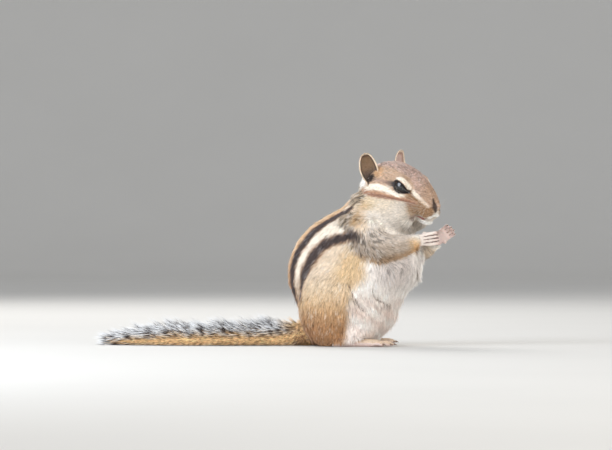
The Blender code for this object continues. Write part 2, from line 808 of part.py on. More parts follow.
def parted_body():
    """All nodes, cut from one fused body or set on it."""
    body = fused_body()
    nodes = {"head": head_from(body)}
    point, normal = HEAD_CUT
    trunk = thin_out(body, TRUNK_TRIANGLES)
    for side in ("right", "left"):
        wrist, points = Vector(HAND[side].wrist), Vector(HAND[side].points)
        boolean(trunk, half_space(wrist, points, size=30), "DIFFERENCE")
        nodes["hand_" + side] = hand("hand_" + side, side)
        nodes["foot_" + side] = foot("foot_" + side, side)
        boolean(trunk, grown(nodes["foot_" + side], GAP), "DIFFERENCE")
        for name, cutter in (("foreleg_" + side, arm_region), ("hindleg_" + side, leg_region)):
            nodes[name] = keep_largest(boolean(copy_of(trunk, name), cutter(side, LIMB_MARGIN), "INTERSECT"))
            boolean(trunk, cutter(side, LIMB_MARGIN + GAP), "DIFFERENCE")
    boolean(trunk, half_space(point - normal * GAP, normal), "DIFFERENCE")
    neck_foot = point - normal * (GAP + NECK_LENGTH)
    nodes["neck"] = keep_largest(slab(trunk, "neck", neck_foot, normal))
    boolean(trunk, half_space(neck_foot - normal * GAP, normal), "DIFFERENCE")
    tail_start = bone_at(TAIL_CUTS[0])
    boolean(trunk, half_space(tail_start.centre, tail_start.along), "DIFFERENCE")
    trunk.name = "torso"
    nodes["torso"] = keep_largest(trunk)
    for word, side in (("right", -1), ("left", 1)):
        nodes["eye_" + word] = eyeball("eye_" + word, side, EYE_RADIUS, segments=16)
        nodes["ear_" + word] = ear("ear_" + word, word, nodes["head"])
    draw = random.Random(SEED)
    ends = (*TAIL_CUTS, 1.0)
    for i, part in enumerate(("root", "middle", "tip")):
        nodes["tail_" + part] = tail_length("tail_" + part, ends[i], ends[i + 1], LOCK_ROWS[i], draw)
    for name in ("torso", "hindleg_right", "hindleg_left", "foot_right", "foot_left"):
        cut_at_floor(nodes[name])
    for part in ("root", "middle", "tip"):
        cut_at_floor(nodes["tail_" + part])
    return nodes


def material_of(name):
    (red, green, blue), roughness = FUR[LOOK_OF[name.split("_")[0]]]
    material = bpy.data.materials.new(name)
    material.use_nodes = True
    shader = material.node_tree.nodes["Principled BSDF"]
    shader.inputs["Base Color"].default_value = (red, green, blue, 1)
    shader.inputs["Roughness"].default_value = roughness
    material.diffuse_color = (red, green, blue, 1)
    return material


def centre_over_floor(nodes):
    """Scales every node to metres and moves the whole so that its box is centred on the origin."""
    points = [v.co for obj in nodes.values() for v in obj.data.vertices]
    low = Vector([min(p[i] for p in points) for i in range(3)])
    high = Vector([max(p[i] for p in points) for i in range(3)])
    shift = Vector((-(low.x + high.x) / 2, -(low.y + high.y) / 2, -low.z))
    for obj in nodes.values():
        obj.data.transform(Matrix.Scale(MM, 4) @ Matrix.Translation(shift))


def clear_scene():
    for obj in list(bpy.data.objects):
        bpy.data.objects.remove(obj)


def build():
    clear_scene()
    nodes = parted_body()
    animal = bpy.data.collections.new("chipmunk")
    bpy.context.scene.collection.children.link(animal)
    for name, obj in nodes.items():
        apply(obj, "TRIANGULATE")
        obj.data.materials.clear()
        obj.data.materials.append(material_of(name))
        obj.name = obj.data.name = name
        bpy.context.scene.collection.objects.unlink(obj)
        animal.objects.link(obj)
    centre_over_floor(nodes)


build()
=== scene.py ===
"""The looks of a chipmunk that sits upright: skin, coat, eyes, ears, whiskers and claws.

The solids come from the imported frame. Points are worked out in millimetres in the animal's own frame,
in which its body faces +X, its right side is at -Y and the floor is Z = 0, and are placed in metres.
"""

import json
import math
from typing import NamedTuple

import bpy
import numpy as np
from mathutils import Matrix, Vector
from mathutils.bvhtree import BVHTree
from mathutils.kdtree import KDTree


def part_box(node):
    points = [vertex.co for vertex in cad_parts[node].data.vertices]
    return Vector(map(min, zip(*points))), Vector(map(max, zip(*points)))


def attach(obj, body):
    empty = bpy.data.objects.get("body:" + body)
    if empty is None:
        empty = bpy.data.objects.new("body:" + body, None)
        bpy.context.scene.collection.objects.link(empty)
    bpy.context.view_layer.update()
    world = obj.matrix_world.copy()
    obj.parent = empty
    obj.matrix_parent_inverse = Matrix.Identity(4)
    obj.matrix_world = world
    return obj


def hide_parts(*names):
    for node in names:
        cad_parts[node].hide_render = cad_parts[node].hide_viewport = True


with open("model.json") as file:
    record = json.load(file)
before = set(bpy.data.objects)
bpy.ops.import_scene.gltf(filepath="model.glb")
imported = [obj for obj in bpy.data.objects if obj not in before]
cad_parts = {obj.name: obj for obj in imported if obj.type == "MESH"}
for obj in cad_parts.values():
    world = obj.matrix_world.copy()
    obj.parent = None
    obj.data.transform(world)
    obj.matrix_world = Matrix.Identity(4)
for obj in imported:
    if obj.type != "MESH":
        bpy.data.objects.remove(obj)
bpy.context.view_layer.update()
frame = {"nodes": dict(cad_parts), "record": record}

MM = 0.001
SEED = 11
draw = np.random.default_rng(SEED)

# The head: the point midway between the eyes, and how the head is turned, tipped and tilted.
BETWEEN_EYES = Vector((31.5, -8.0, 80.6))
HEAD_TURN = math.radians(-36)
HEAD_NOD = math.radians(10)
HEAD_TILT = math.radians(3.5)
HEAD = (
    Matrix.Translation(BETWEEN_EYES)
    @ Matrix.Rotation(HEAD_TURN, 4, "Z")
    @ Matrix.Rotation(HEAD_NOD, 4, "Y")
    @ Matrix.Rotation(HEAD_TILT, 4, "X")
)
HEAD_TURNED = np.array(HEAD.to_3x3())
HEAD_MIDDLE = np.array(BETWEEN_EYES)

EYE_RADIUS = 4.6
EYE_PLACE = np.array((2.0, 6.7, 0.2))  # of the left eyeball's centre in the head: ahead, aside, up
EYE_GLINT = np.array((2.3, -11.1, 1.1))  # where the light is mirrored on the right eye
LID_MIDDLE = np.array((-0.6, 0.0, -0.4))  # of the opening between the lids, from the eyeball's centre
LID_OPENING = (3.9, 2.6)  # half its length and half its height
LID_SLANT = math.radians(-23)  # the front corner is the lower one
LID_CORNER = 48  # degrees to each side of the front corner in which the opening draws out to a point
LID_CORNER_ROUND = 4  # degrees that are rounded off at that point
LID_LEAVES_EYE = 3.2  # how far ahead of the eyeball's centre the lids leave it for their front corner
LID_CORNER_PLACE = (3.6, 2.7)  # of that corner from the same centre: ahead and aside
LID_THICKNESS = 0.3
NOSE_PLACE = np.array((18.7, 0.0, -8.0))
NOSE_SIZE = np.array((1.8, 1.9, 2.3))
MOUTH = np.array(((7.5, 6.2, -13.4), (11.5, 5.4, -14.2), (15.0, 3.2, -14.0), (17.2, 0.0, -13.4)))

EAR_BASE = {"right": (-14.9, -10.4, 0.2), "left": (-13.4, 11.4, 0.6)}
EAR_UP = {"right": (-0.16, -0.36, 0.92), "left": (-0.08, 0.22, 0.97)}
EAR_FACES = {"right": (0.72, -0.66, -0.12), "left": (1.0, -0.05, -0.1)}
EAR_LENGTH = 13.6
EAR_WIDTH = 7.9
EAR_WIDEST = 0.45  # the share of its length at which the ear is widest
EAR_WALL = 0.5
EAR_GRID = (36, 32)  # rows and columns of each face of the cup
EAR_SUNK = 1.8  # how far the foot of the cup reaches into the head
EAR_WRAP = (1.2, 0.75)  # how far the cup turns round from its middle in radians, and more at its foot
EAR_HOLLOW = 0.62  # its depth, of half its width
EAR_LEAN = 0.10  # how far its top leans back

TAIL_PATH = (
    (-14, 0.5, 8.5), (-22, 0.8, 5.6), (-34, 1.2, 3.7), (-60, 0.2, 3.1), (-86, 2.0, 2.7), (-113, 7.0, 2.2),
)
TAIL_FLESH = (7.5, 4.2, 2.7, 2.1, 1.7, 0.8)  # radius of the tail under its hair at each point

ARMS = {  # the bone of each arm, and the radius of the arm at each of its points
    "right": ((11, -12.5, 58, 9.5), (14.5, -18, 51.5, 7.8), (23, -20.2, 49.8, 6.0), (36, -17.6, 52.8, 3.6)),
    "left": ((24, 8, 55, 9.5), (29, 11, 46.5, 7.4), (36.5, 7.5, 46, 5.6), (45.4, 0.3, 52.2, 3.6)),
}

HAND = {  # the wrist, the way the fingers point, the way they are stacked, and the palm's side
    "right": ((36.0, -17.6, 52.8), (0.94, 0.27, 0.12), (-0.12, -0.05, 0.99), -1),
    "left": ((45.4, 0.3, 52.2), (0.76, -0.30, 0.58), (-0.60, -0.05, 0.80), 1),
}
KNUCKLES = 6.2  # from the wrist
FINGER_LENGTHS = (4.6, 5.6, 5.4, 4.3)
FINGER_SPACING = 1.65
FINGER_FAN = 0.04
FINGER_CURL = 0.26  # how far a finger's end bends inwards, of its length
PARTING = (0.12, 0.5)  # half the width of the line of painted shade between two fingers, and of its soft edge
PARTING_DEPTH = 0.3
HEEL = {"right": (-6.0, -16.5), "left": (-4.0, 16.0)}
FOOT_TURN = {"right": -7, "left": 8}
TOE_BASE = 22.5  # from the heel
TOE_FAN = 0.13
TOE_LENGTHS = (5.4, 8.0, 8.8, 8.2, 5.6)
TOE_SPACING = 1.75
CLAW_LENGTH = {"hand": 1.1, "foot": 1.6}
CLAW_RADIUS = {"hand": 0.34, "foot": 0.46}
PAW_DENSITY = 14.0  # hairs on a square millimetre
WHISKER_STEPS = 12
LIP_STEPS = 40

FLESH = ("torso", "neck", "head", "foreleg_right", "foreleg_left", "hindleg_right", "hindleg_left")
TAIL = ("tail_root", "tail_middle", "tail_tip")
SKIN_VOXEL = 0.55
PAW_VOXEL = 0.28
SWELL = 0.22  # how far the solids are swollen before they are merged
COAT_DEPTH = 0.7  # how far the skin lies under the solids, of the height that the hair stands
UNDERSIDE = 0.3  # of the skin over the floor
LID_RISE = 1.5  # how fast the skin rises from the eyeball outside the lids
BEHIND_LIDS = 1.2  # how far it is drawn in behind the eyeball's surface between them
CHEST = (35, 0, 34)
CHEST_RADIUS = 11  # of the part of the chest that is evened out
CHEST_PASSES = 240
FOLD_WIDTH = 2.2
FOLD_DEPTH = 0.7
MOUTH_WIDTH = 1.3


class Slice(NamedTuple):
    """One slice of the trunk: its back and belly in the side view, half its width, and its turn."""

    back_x: float
    back_z: float
    belly_x: float
    belly_z: float
    half_width: float
    turn: float


TRUNK = (
    Slice(-13.5, -2.0, 9.0, -2.0, 8.0, 4),
    Slice(-19.0, 5.0, 17.5, 3.0, 15.5, 5),
    Slice(-24.6, 16.0, 25.5, 12.0, 19.5, 6),
    Slice(-27.6, 26.5, 28.5, 20.0, 21.5, 7),
    Slice(-28.8, 36.0, 32.5, 27.0, 22.0, 9),
    Slice(-27.5, 45.5, 38.0, 32.0, 21.0, 12),
    Slice(-23.6, 54.0, 42.0, 38.5, 19.5, 16),
    Slice(-17.8, 60.6, 41.5, 46.0, 17.8, 20),
    Slice(-9.5, 65.8, 37.0, 54.0, 16.2, 24),
    Slice(-1.0, 70.8, 33.0, 62.0, 14.4, 28),
    Slice(4.5, 77.5, 31.0, 71.0, 12.4, 32),
)


class Comb(NamedTuple):
    """How the coat lies round one place: the way it points, its length, and its lean from the skin."""

    place: tuple
    points: tuple
    length: float
    lean: float  # degrees
    reach: float = 9.0


BODY_COMBS = (
    Comb((2, 0, 74), (-0.75, 0, -0.65), 3.4, 17),
    Comb((-10, 0, 66), (-0.85, 0, -0.5), 3.8, 15),
    Comb((-22, 0, 55), (-0.6, 0, -0.8), 4.0, 14),
    Comb((-28, 0, 40), (-0.1, 0, -1), 4.2, 14),
    Comb((-28, 0, 26), (0.15, 0, -1), 4.4, 14),
    Comb((-24, 0, 13), (-0.1, 0, -1), 4.6, 16),
    Comb((-32, 0, 6), (-1, 0, -0.1), 5.0, 18, 6),
    Comb((0, 13, 62), (-0.55, 0.1, -0.8), 3.6, 17),
    Comb((-8, 15, 52), (-0.6, 0.1, -0.8), 4.0, 15),
    Comb((-18, 13, 42), (-0.45, 0, -0.9), 4.2, 14),
    Comb((-4, 22, 40), (-0.65, 0, -0.75), 4.2, 15),
    Comb((-12, 22, 30), (-0.4, 0, -0.92), 4.4, 15),
    Comb((-14, 22, 16), (-0.1, 0, -1), 4.4, 15),
    Comb((-6, 25, 22), (-0.2, 0, -1), 4.4, 15),
    Comb((2, 24, 12), (0.05, 0, -1), 4.2, 15),
    Comb((6, 20, 44), (-0.1, 0, -1), 4.4, 18),
    Comb((10, 20, 30), (0.1, 0, -1), 4.8, 20),
    Comb((12, 20, 16), (0.15, 0, -1), 4.4, 18),
    Comb((34, 6, 52), (0.1, 0, -1), 5.0, 24),
    Comb((34, 0, 36), (-0.3, 0, -1), 5.4, 27),
    Comb((28, 6, 22), (-0.3, 0, -1), 5.4, 25),
    Comb((22, 6, 8), (-0.2, 0, -1), 4.8, 22),
    Comb((18, 18, 6), (0.5, 0, -0.8), 3.0, 16, 6),
)
ARM_COMBS = {
    "right": (
        Comb((9, -18, 58), (0.1, -0.2, -1), 3.4, 17, 6),
        Comb((14, -25, 51), (0.75, -0.1, -0.5), 3.0, 17, 6),
        Comb((23, -26, 49), (1, 0.15, -0.1), 2.4, 16, 6),
        Comb((34, -21, 52), (1, 0.2, 0.1), 1.8, 15, 5),
    ),
    "left": (
        Comb((25, 15, 55), (0.3, 0.2, -1), 3.4, 17, 6),
        Comb((30, 17, 46), (0.7, 0, -0.3), 3.0, 17, 6),
        Comb((37, 12, 44), (1, -0.5, 0.5), 2.4, 16, 5),
        Comb((44, 4, 50), (0.8, -0.5, 0.6), 1.8, 15, 5),
    ),
}
HEAD_COMBS = (
    Comb((19, 0, -4), (-1, 0, 0.7), 0.8, 17, 4),
    Comb((12, 0, 3), (-1, 0, 0.5), 1.2, 16, 5),
    Comb((4, 0, 8), (-1, 0, 0.25), 1.7, 15, 6),
    Comb((-7, 0, 10.6), (-1, 0, 0), 2.2, 15, 6),
    Comb((-18, 0, 8), (-1, 0, -0.5), 2.8, 16, 6),
    Comb((-25, 0, -4), (-0.5, 0, -1), 3.2, 17, 6),
    Comb((2, 8, 5.5), (-1, 0.25, 0.1), 1.2, 15, 4),
    Comb((-9, 11, 3), (-1, 0.1, -0.05), 1.8, 15, 5),
    Comb((10, 6, -2), (-1, 0.45, 0.1), 1.0, 16, 4),
    Comb((18, 3.0, -7), (-0.8, 0.6, 0.1), 0.8, 17, 4),
    Comb((13, 5.5, -9), (-1, 0.45, -0.05), 1.1, 16, 4),
    Comb((6, 9, -7), (-1, 0.3, -0.05), 1.5, 15, 5),
    Comb((0, 12, -6), (-1, 0.15, -0.05), 1.9, 14, 5),
    Comb((-2, 13, -13), (-1, 0.1, -0.15), 2.5, 14, 6),
    Comb((-12, 14, -10), (-1, 0, -0.25), 2.8, 15, 6),
    Comb((-12, 14, -19), (-1, 0, -0.45), 3.4, 17, 6),
    Comb((6, 9, -17), (-1, 0.2, -0.35), 2.2, 16, 5),
    Comb((15, 3, -13.5), (-1, 0.3, -0.2), 1.0, 16, 4),
    Comb((12, 3, -17), (-1, 0.2, -0.4), 1.6, 18, 4),
    Comb((5, 0, -20), (-0.8, 0, -0.7), 3.0, 20, 6),
    Comb((-20, 11, -4), (-0.8, 0.1, -0.6), 3.0, 19, 5),
)

# Colours as they look, from black at 0 to white at 1
DARK = (0.27, 0.22, 0.21)
DARK_EDGE = (0.62, 0.44, 0.31)
EYE_RING = (0.20, 0.17, 0.17)
EYE_STREAK = (0.68, 0.56, 0.49)
CREAM = (0.99, 0.94, 0.87)
WHITE = (0.98, 0.96, 0.93)
BELLY = (0.98, 0.95, 0.92)
BELLY_PINK = (0.93, 0.85, 0.80)
CHEST_PAINTED_SHADE = (0.80, 0.75, 0.72)
LIP_RED = (0.66, 0.36, 0.31)
FLANK = (0.90, 0.82, 0.72)
FLANK_GOLD = (0.88, 0.76, 0.59)
HAUNCH = (0.72, 0.53, 0.36)
RUSSET = (0.57, 0.39, 0.26)
BACK_TAN = (0.88, 0.73, 0.56)
BACK_LOW = (0.72, 0.54, 0.40)
STRIPE_LOW = (0.70, 0.56, 0.43)
CROWN = (0.84, 0.70, 0.63)
CROWN_SIDE = (0.79, 0.66, 0.55)
BRIDGE = (0.74, 0.60, 0.49)
MUZZLE = (0.61, 0.46, 0.32)
NOSE_PAD = (0.69, 0.57, 0.48)
NOSTRIL_SHADE = (0.24, 0.17, 0.13)
CHEEK = (0.85, 0.80, 0.74)
CHEEK_GOLD = (0.84, 0.74, 0.59)
EAR_TUFT = (0.78, 0.61, 0.45)
CHEEK_BACK = (0.74, 0.59, 0.41)
JOWL = (0.79, 0.75, 0.70)
CHEEK_STRIPE = (0.58, 0.42, 0.34)
CHEEK_STRIPE_EDGE = (0.74, 0.55, 0.42)
MOUTH_FOLD_SHADE = (0.42, 0.32, 0.27)
THROAT = (0.96, 0.92, 0.87)
ARM_INSIDE = (0.88, 0.84, 0.80)
EYE_FRONT = (0.42, 0.33, 0.27)
FOLD_SHADE = (0.40, 0.31, 0.25)
NAPE = (0.66, 0.57, 0.47)
SHOULDER = (0.60, 0.51, 0.42)
SLEEVE = (0.73, 0.66, 0.59)
SLEEVE_HIGHLIGHT = (0.84, 0.78, 0.72)
SLEEVE_UNDER_SHADE = (0.68, 0.56, 0.44)
WRIST = (0.88, 0.70, 0.48)
TAIL_CORE = (0.90, 0.73, 0.53)
TAIL_BAND = (0.24, 0.20, 0.19)
TAIL_TIPS = (0.90, 0.90, 0.90)
PINK = (0.86, 0.77, 0.73)
CREASE_SHADE = (0.27, 0.18, 0.16)
PALM = (0.84, 0.75, 0.72)
HAND_HAIR = (0.92, 0.87, 0.83)
FOOT_HAIR = (0.84, 0.74, 0.63)
EAR_RIM = (0.92, 0.84, 0.74)
EAR_BACK = (0.60, 0.49, 0.41)
# The insides of the two ears are one skin painted with different light: the right cup darker, as in shade,
# the left one paler, as in light
EAR_RING_LIT_AND_SHADED = {"right": (0.33, 0.24, 0.17), "left": (0.62, 0.50, 0.44)}
EAR_INSIDE_LIT_AND_SHADED = {"right": (0.46, 0.36, 0.25), "left": (0.72, 0.62, 0.58)}
EAR_DEEP_SHADE = (0.16, 0.12, 0.11)

# The stripes of the back as lines on the unrolled trunk: its slice, the angle from the middle of the
# back in degrees, and the width in millimetres
UPPER_DARK = (
    (9.3, 61, 2.6), (8.9, 54, 3.9), (8.6, 44.5, 4.4), (8.0, 39.5, 4.4), (7.5, 36.5, 4.3), (6.9, 33.5, 4.2),
    (5.9, 30, 4.0), (5.0, 26, 3.8), (4.0, 24, 3.2), (3.0, 23.5, 2.6), (2.3, 24, 1.4),
)
LOWER_DARK = (
    (7.5, 90, 4.6), (7.2, 81, 4.4), (6.95, 72, 4.2), (6.5, 61.5, 3.9), (5.9, 56, 3.6), (5.4, 52.5, 3.4),
    (5.0, 51, 3.3), (4.5, 48.5, 3.1), (4.0, 47, 3.0), (3.5, 47, 2.6), (3.1, 48, 1.7),
)
SLICE_STEPS = 10  # in which the trunk is measured from one slice to the next
SLICE_RUN = 8.5  # millimetres along the trunk in one slice
DEGREE_RUN = 0.35  # millimetres round the trunk in one degree
LIMB_STEPS = 24  # in which a limb is measured

# Where the pale stripe begins and ends and where the belly begins, as slices and angles
PALE_FROM = ((1.5, 27), (3.0, 27), (5.0, 32), (6.9, 39), (7.5, 42), (8.0, 46), (8.6, 51), (9.3, 67))
PALE_TO = (
    (1.5, 50), (3.0, 46), (4.0, 44), (5.0, 48), (5.9, 54), (6.5, 60), (6.95, 70), (7.3, 76), (9.3, 74),
)
BELLY_FROM = (
    (1.0, 96), (1.7, 95), (2.5, 97), (3.1, 99), (3.9, 99),
    (4.3, 104), (4.8, 107), (5.5, 105), (6.2, 100), (7.5, 104),
)

# Folds of the skin over the haunch and before the knee
FOLDS = (
    ((2.0, -22.2, 32.4), (3.5, -24.0, 27.3), (6.2, -24.8, 22.0), (9.0, -24.6, 19.0)),
    ((14.5, -21.5, 26.0), (16.5, -20.2, 24.6), (19.3, -18.5, 23.2), (22.5, -15.6, 21.8)),
)

# Lines of the face in the head's frame, on the left side: ahead, to the side, up, width
BROW_LINE = (
    (-3.4, 9.9, 3.5, 1.0), (-2.2, 9.9, 4.0, 1.6), (0.0, 9.9, 4.2, 2.1), (3.4, 10.3, 3.9, 2.3),
    (5.7, 9.9, 2.5, 2.2), (7.1, 8.4, 0.1, 2.4), (9.4, 6.9, -2.4, 2.2), (12.3, 5.9, -4.5, 2.0),
    (14.6, 5.0, -6.4, 2.0), (16.6, 4.2, -8.0, 1.7),
)
CHEEK_LINE = (
    (-16.2, 12.4, -2.7, 3.4), (-12.4, 12.4, -2.4, 3.2), (-8.8, 12.1, -1.9, 3.2), (-4.7, 11.7, -2.3, 3.0),
    (-1.0, 11.3, -3.5, 2.5), (2.4, 10.5, -4.5, 2.2), (5.8, 9.1, -4.3, 1.8),
)
EYE_STRIPE = (
    (-11.5, 11.4, 1.4, 1.6), (-7.6, 11.4, 1.2, 1.7), (-5.0, 11.1, 1.0, 2.0), (-2.6, 10.9, 0.4, 2.6),
)
EYE_CORNER = ((6.2, 9.6, -1.4, 1.4), (7.7, 8.1, -3.1, 1.0), (9.4, 7.2, -4.4, 0.6))
LOWER_STRIPE = (
    (-18.4, 11.4, -4.4, 2.0), (-13.6, 12.4, -5.5, 2.5), (-8.9, 12.9, -5.6, 2.9), (-4.4, 13.0, -5.7, 2.7),
    (-0.4, 12.5, -5.9, 2.3), (3.8, 10.6, -6.2, 2.0), (6.8, 8.6, -6.4, 2.0), (10.5, 6.7, -7.2, 2.2),
)
NOSTRIL_LINE = (
    (17.8, 2.4, -4.4, 0.9), (18.8, 2.5, -6.3, 1.9), (19.4, 2.3, -8.4, 2.2), (19.6, 1.7, -9.8, 1.4),
)
UPPER_LIP = ((17.3, 3.9, -13.6, 1.2), (18.6, 2.4, -12.9, 2.0), (19.4, 0.0, -12.3, 2.6))
MOUTH_LINE = (
    (7.6, 9.6, -13.7, 1.2), (9.0, 7.5, -14.1, 1.9), (10.6, 5.5, -14.5, 1.9), (13.1, 4.4, -14.8, 1.5),
    (16.0, 3.6, -14.0, 0.7),
)
RED_LIP = ((12.2, 4.8, -15.4, 1.1), (13.6, 4.3, -15.8, 1.8), (15.0, 3.8, -15.4, 1.1))


# Small helpers

def spread(rows, count):
    """A smooth curve of count rows through the given rows (Catmull-Rom)."""
    rows = np.array(rows, float)
    padded = np.vstack([2 * rows[0] - rows[1], rows, 2 * rows[-1] - rows[-2]])
    place = np.linspace(0, len(rows) - 1, count)
    i = np.minimum(place.astype(int), len(rows) - 2)
    t = (place - i)[:, None]
    a, b, c, d = (padded[i + k] for k in range(4))
    return 0.5 * (2 * b + (c - a) * t + (2 * a - 5 * b + 4 * c - d) * t**2 + (3 * b - a - 3 * c + d) * t**3)


def unit(vectors):
    return vectors / np.maximum(np.linalg.norm(vectors, axis=-1, keepdims=True), 1e-9)


def ramp(values, low, high):
    """A smooth step from 0 at low to 1 at high."""
    t = np.clip((values - low) / (high - low), 0, 1)
    return t * t * (3 - 2 * t)


def between(values, low, high, soft):
    """A mask of the values between two others."""
    return ramp(values, low - soft, low + soft) * (1 - ramp(values, high - soft, high + soft))


def from_line(points, path):
    """How far each point is from a line, and how wide the line is there if its rows give a width."""
    path = np.array(path, float)
    best = np.full(len(points), 1e9)
    width = np.zeros(len(points))
    for start, end in zip(path, path[1:]):
        run = end[:3] - start[:3]
        share = np.clip(((points - start[:3]) @ run) / (run @ run), 0, 1)
        away = np.linalg.norm(points - start[:3] - share[:, None] * run, axis=1)
        nearer = away < best
        best[nearer] = away[nearer]
        if path.shape[1] > 3:
            width[nearer] = (start[3] + share * (end[3] - start[3]))[nearer]
    return best, width


def on_line(points, path, soft=0.5):
    """A mask of the points on a line of changing width."""
    away, width = from_line(points, path)
    return 1 - ramp(away, width / 2 - soft, width / 2 + soft)


def near(points, centre, radius, soft=2.0):
    """A mask of the points round a centre."""
    away = np.linalg.norm(points - np.array(centre), axis=1)
    return 1 - ramp(away, radius - soft, radius + soft)


def eye_centre(side):
    return Vector(EYE_PLACE) * Vector((1, side, 1))


def middle_of(node):
    low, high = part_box(node)
    return (low + high) / 2


SHIFT = middle_of("eye_right") - (HEAD @ eye_centre(-1)) * MM
TO_METRES = Matrix.Translation(SHIFT) @ Matrix.Scale(MM, 4)
FROM_METRES = TO_METRES.inverted()


def to_head(points):
    """Points of the animal's frame in the head's own frame."""
    return (points - HEAD_MIDDLE) @ HEAD_TURNED


def from_head(points):
    """Points of the head's own frame in the animal's frame."""
    return points @ HEAD_TURNED.T + HEAD_MIDDLE


def in_head(points):
    """Points in the head's own frame, with both sides folded onto the left."""
    found = to_head(points)
    found[:, 1] = np.abs(found[:, 1])
    return found


def only(obj):
    """Selects one object and makes it the active one."""
    bpy.ops.object.select_all(action="DESELECT")
    obj.select_set(True)
    bpy.context.view_layer.objects.active = obj


def apply(obj, kind, **settings):
    """Shapes an object by one modifier."""
    modifier = obj.modifiers.new(kind, kind)
    for key, value in settings.items():
        setattr(modifier, key, value)
    only(obj)
    bpy.ops.object.modifier_apply(modifier=modifier.name)


def edit(obj, operator, **settings):
    """Runs one operator on the whole of a mesh in edit mode."""
    only(obj)
    bpy.ops.object.mode_set(mode="EDIT")
    bpy.ops.mesh.select_all(action="SELECT")
    operator(**settings)
    bpy.ops.object.mode_set(mode="OBJECT")


def copy_of_solid(node):
    """A merged copy of a node's solid, in millimetres."""
    made = frame["nodes"][node].copy()
    made.data = made.data.copy()
    made.name = node + "_copy"
    made.parent = None
    made.data.transform(FROM_METRES)
    bpy.context.scene.collection.objects.link(made)
    edit(made, bpy.ops.mesh.remove_doubles, threshold=0.01)
    return made


def joined(name, pieces):
    """Several objects as one new one, which keeps none of their custom properties."""
    only(pieces[0])
    for piece in pieces:
        piece.select_set(True)
    bpy.ops.object.join()
    whole = bpy.context.view_layer.objects.active
    whole.name = whole.data.name = name
    for key in list(whole.keys()):
        del whole[key]
    return whole


def read(items, key, width, kind=np.int32):
    """One value of every item of a mesh, as rows of its numbers."""
    flat = np.empty(len(items) * width, kind)
    items.foreach_get(key, flat)
    return flat.reshape(-1, width)


def points_of(mesh):
    return read(mesh.vertices, "co", 3, float)


def normals_of(mesh):
    return read(mesh.vertex_normals, "vector", 3, np.float32).astype(float)


def edges_of(mesh):
    return read(mesh.edges, "vertices", 2)


def triangles_of(mesh):
    mesh.calc_loop_triangles()
    return read(mesh.loop_triangles, "vertices", 3)


def move_points(mesh, points):
    mesh.vertices.foreach_set("co", points.ravel())
    mesh.update()


NO_TRIANGLES = np.empty((0, 3), int)


def piece_from(name, points, quads, triangles, look):
    """A piece from arrays of points in millimetres and of the faces between them."""
    mesh = bpy.data.meshes.new(name)
    mesh.vertices.add(len(points))
    mesh.vertices.foreach_set("co", (points * MM + np.array(SHIFT)).ravel())
    corners = np.concatenate([quads.ravel(), triangles.ravel()]).astype(np.int32)
    starts = np.concatenate([np.arange(len(quads)) * 4, quads.size + np.arange(len(triangles)) * 3])
    mesh.loops.add(len(corners))
    mesh.loops.foreach_set("vertex_index", corners)
    mesh.polygons.add(len(starts))
    mesh.polygons.foreach_set("loop_start", starts.astype(np.int32))
    mesh.polygons.foreach_set("use_smooth", np.ones(len(starts), bool))
    mesh.update(calc_edges=True)
    made = bpy.data.objects.new(name, mesh)
    bpy.context.scene.collection.objects.link(made)
    mesh.materials.append(look)
    return made


def linear(colours):
    """Colours as they look, turned into the light that a shader works with."""
    colours = np.clip(colours, 0, 1)
    return np.where(colours < 0.04045, colours / 12.92, ((colours + 0.055) / 1.055) ** 2.4)


def tint(mesh, colours):
    """Gives each point of a mesh its colour."""
    attribute = mesh.attributes.new("tint", "FLOAT_COLOR", "POINT")
    full = np.ones((len(colours), 4), np.float32)
    full[:, :3] = linear(colours)
    attribute.data.foreach_set("color", full.ravel())


def tube(name, paths, radii, sides, look):
    """Tapered round tubes along paths of points, joined in one piece; paths is count x steps x 3."""
    count, steps, _ = paths.shape
    along = unit(np.gradient(paths, axis=1))
    upright = np.array([0.13, 0.21, 0.97])
    across = unit(np.cross(along, upright))
    deep = np.cross(across, along)
    turns = 2 * math.pi * np.arange(sides) / sides
    ring = across[:, :, None] * np.cos(turns)[:, None] + deep[:, :, None] * np.sin(turns)[:, None]
    points = paths[:, :, None] + ring * radii[:, :, None, None]
    index = np.arange(count * steps * sides).reshape(count, steps, sides)
    after = np.roll(index, -1, axis=2)
    quads = np.stack([index[:, :-1], index[:, 1:], after[:, 1:], after[:, :-1]], -1).reshape(-1, 4)
    fans = [index[:, 0, [0, k, k + 1]] for k in range(1, sides - 1)]
    fans += [index[:, -1, [0, k + 1, k]] for k in range(1, sides - 1)]
    return piece_from(name, points.reshape(-1, 3), quads, np.concatenate(fans), look)


# Finishes

class Number:
    """A socket in a sum; each operator adds the Math node that it stands for."""

    def __init__(self, look, socket):
        self.look = look
        self.socket = socket

    def __add__(self, other):
        return self.look.sum("ADD", self, other)

    def __mul__(self, other):
        return self.look.sum("MULTIPLY", self, other)

    __radd__ = __add__
    __rmul__ = __mul__


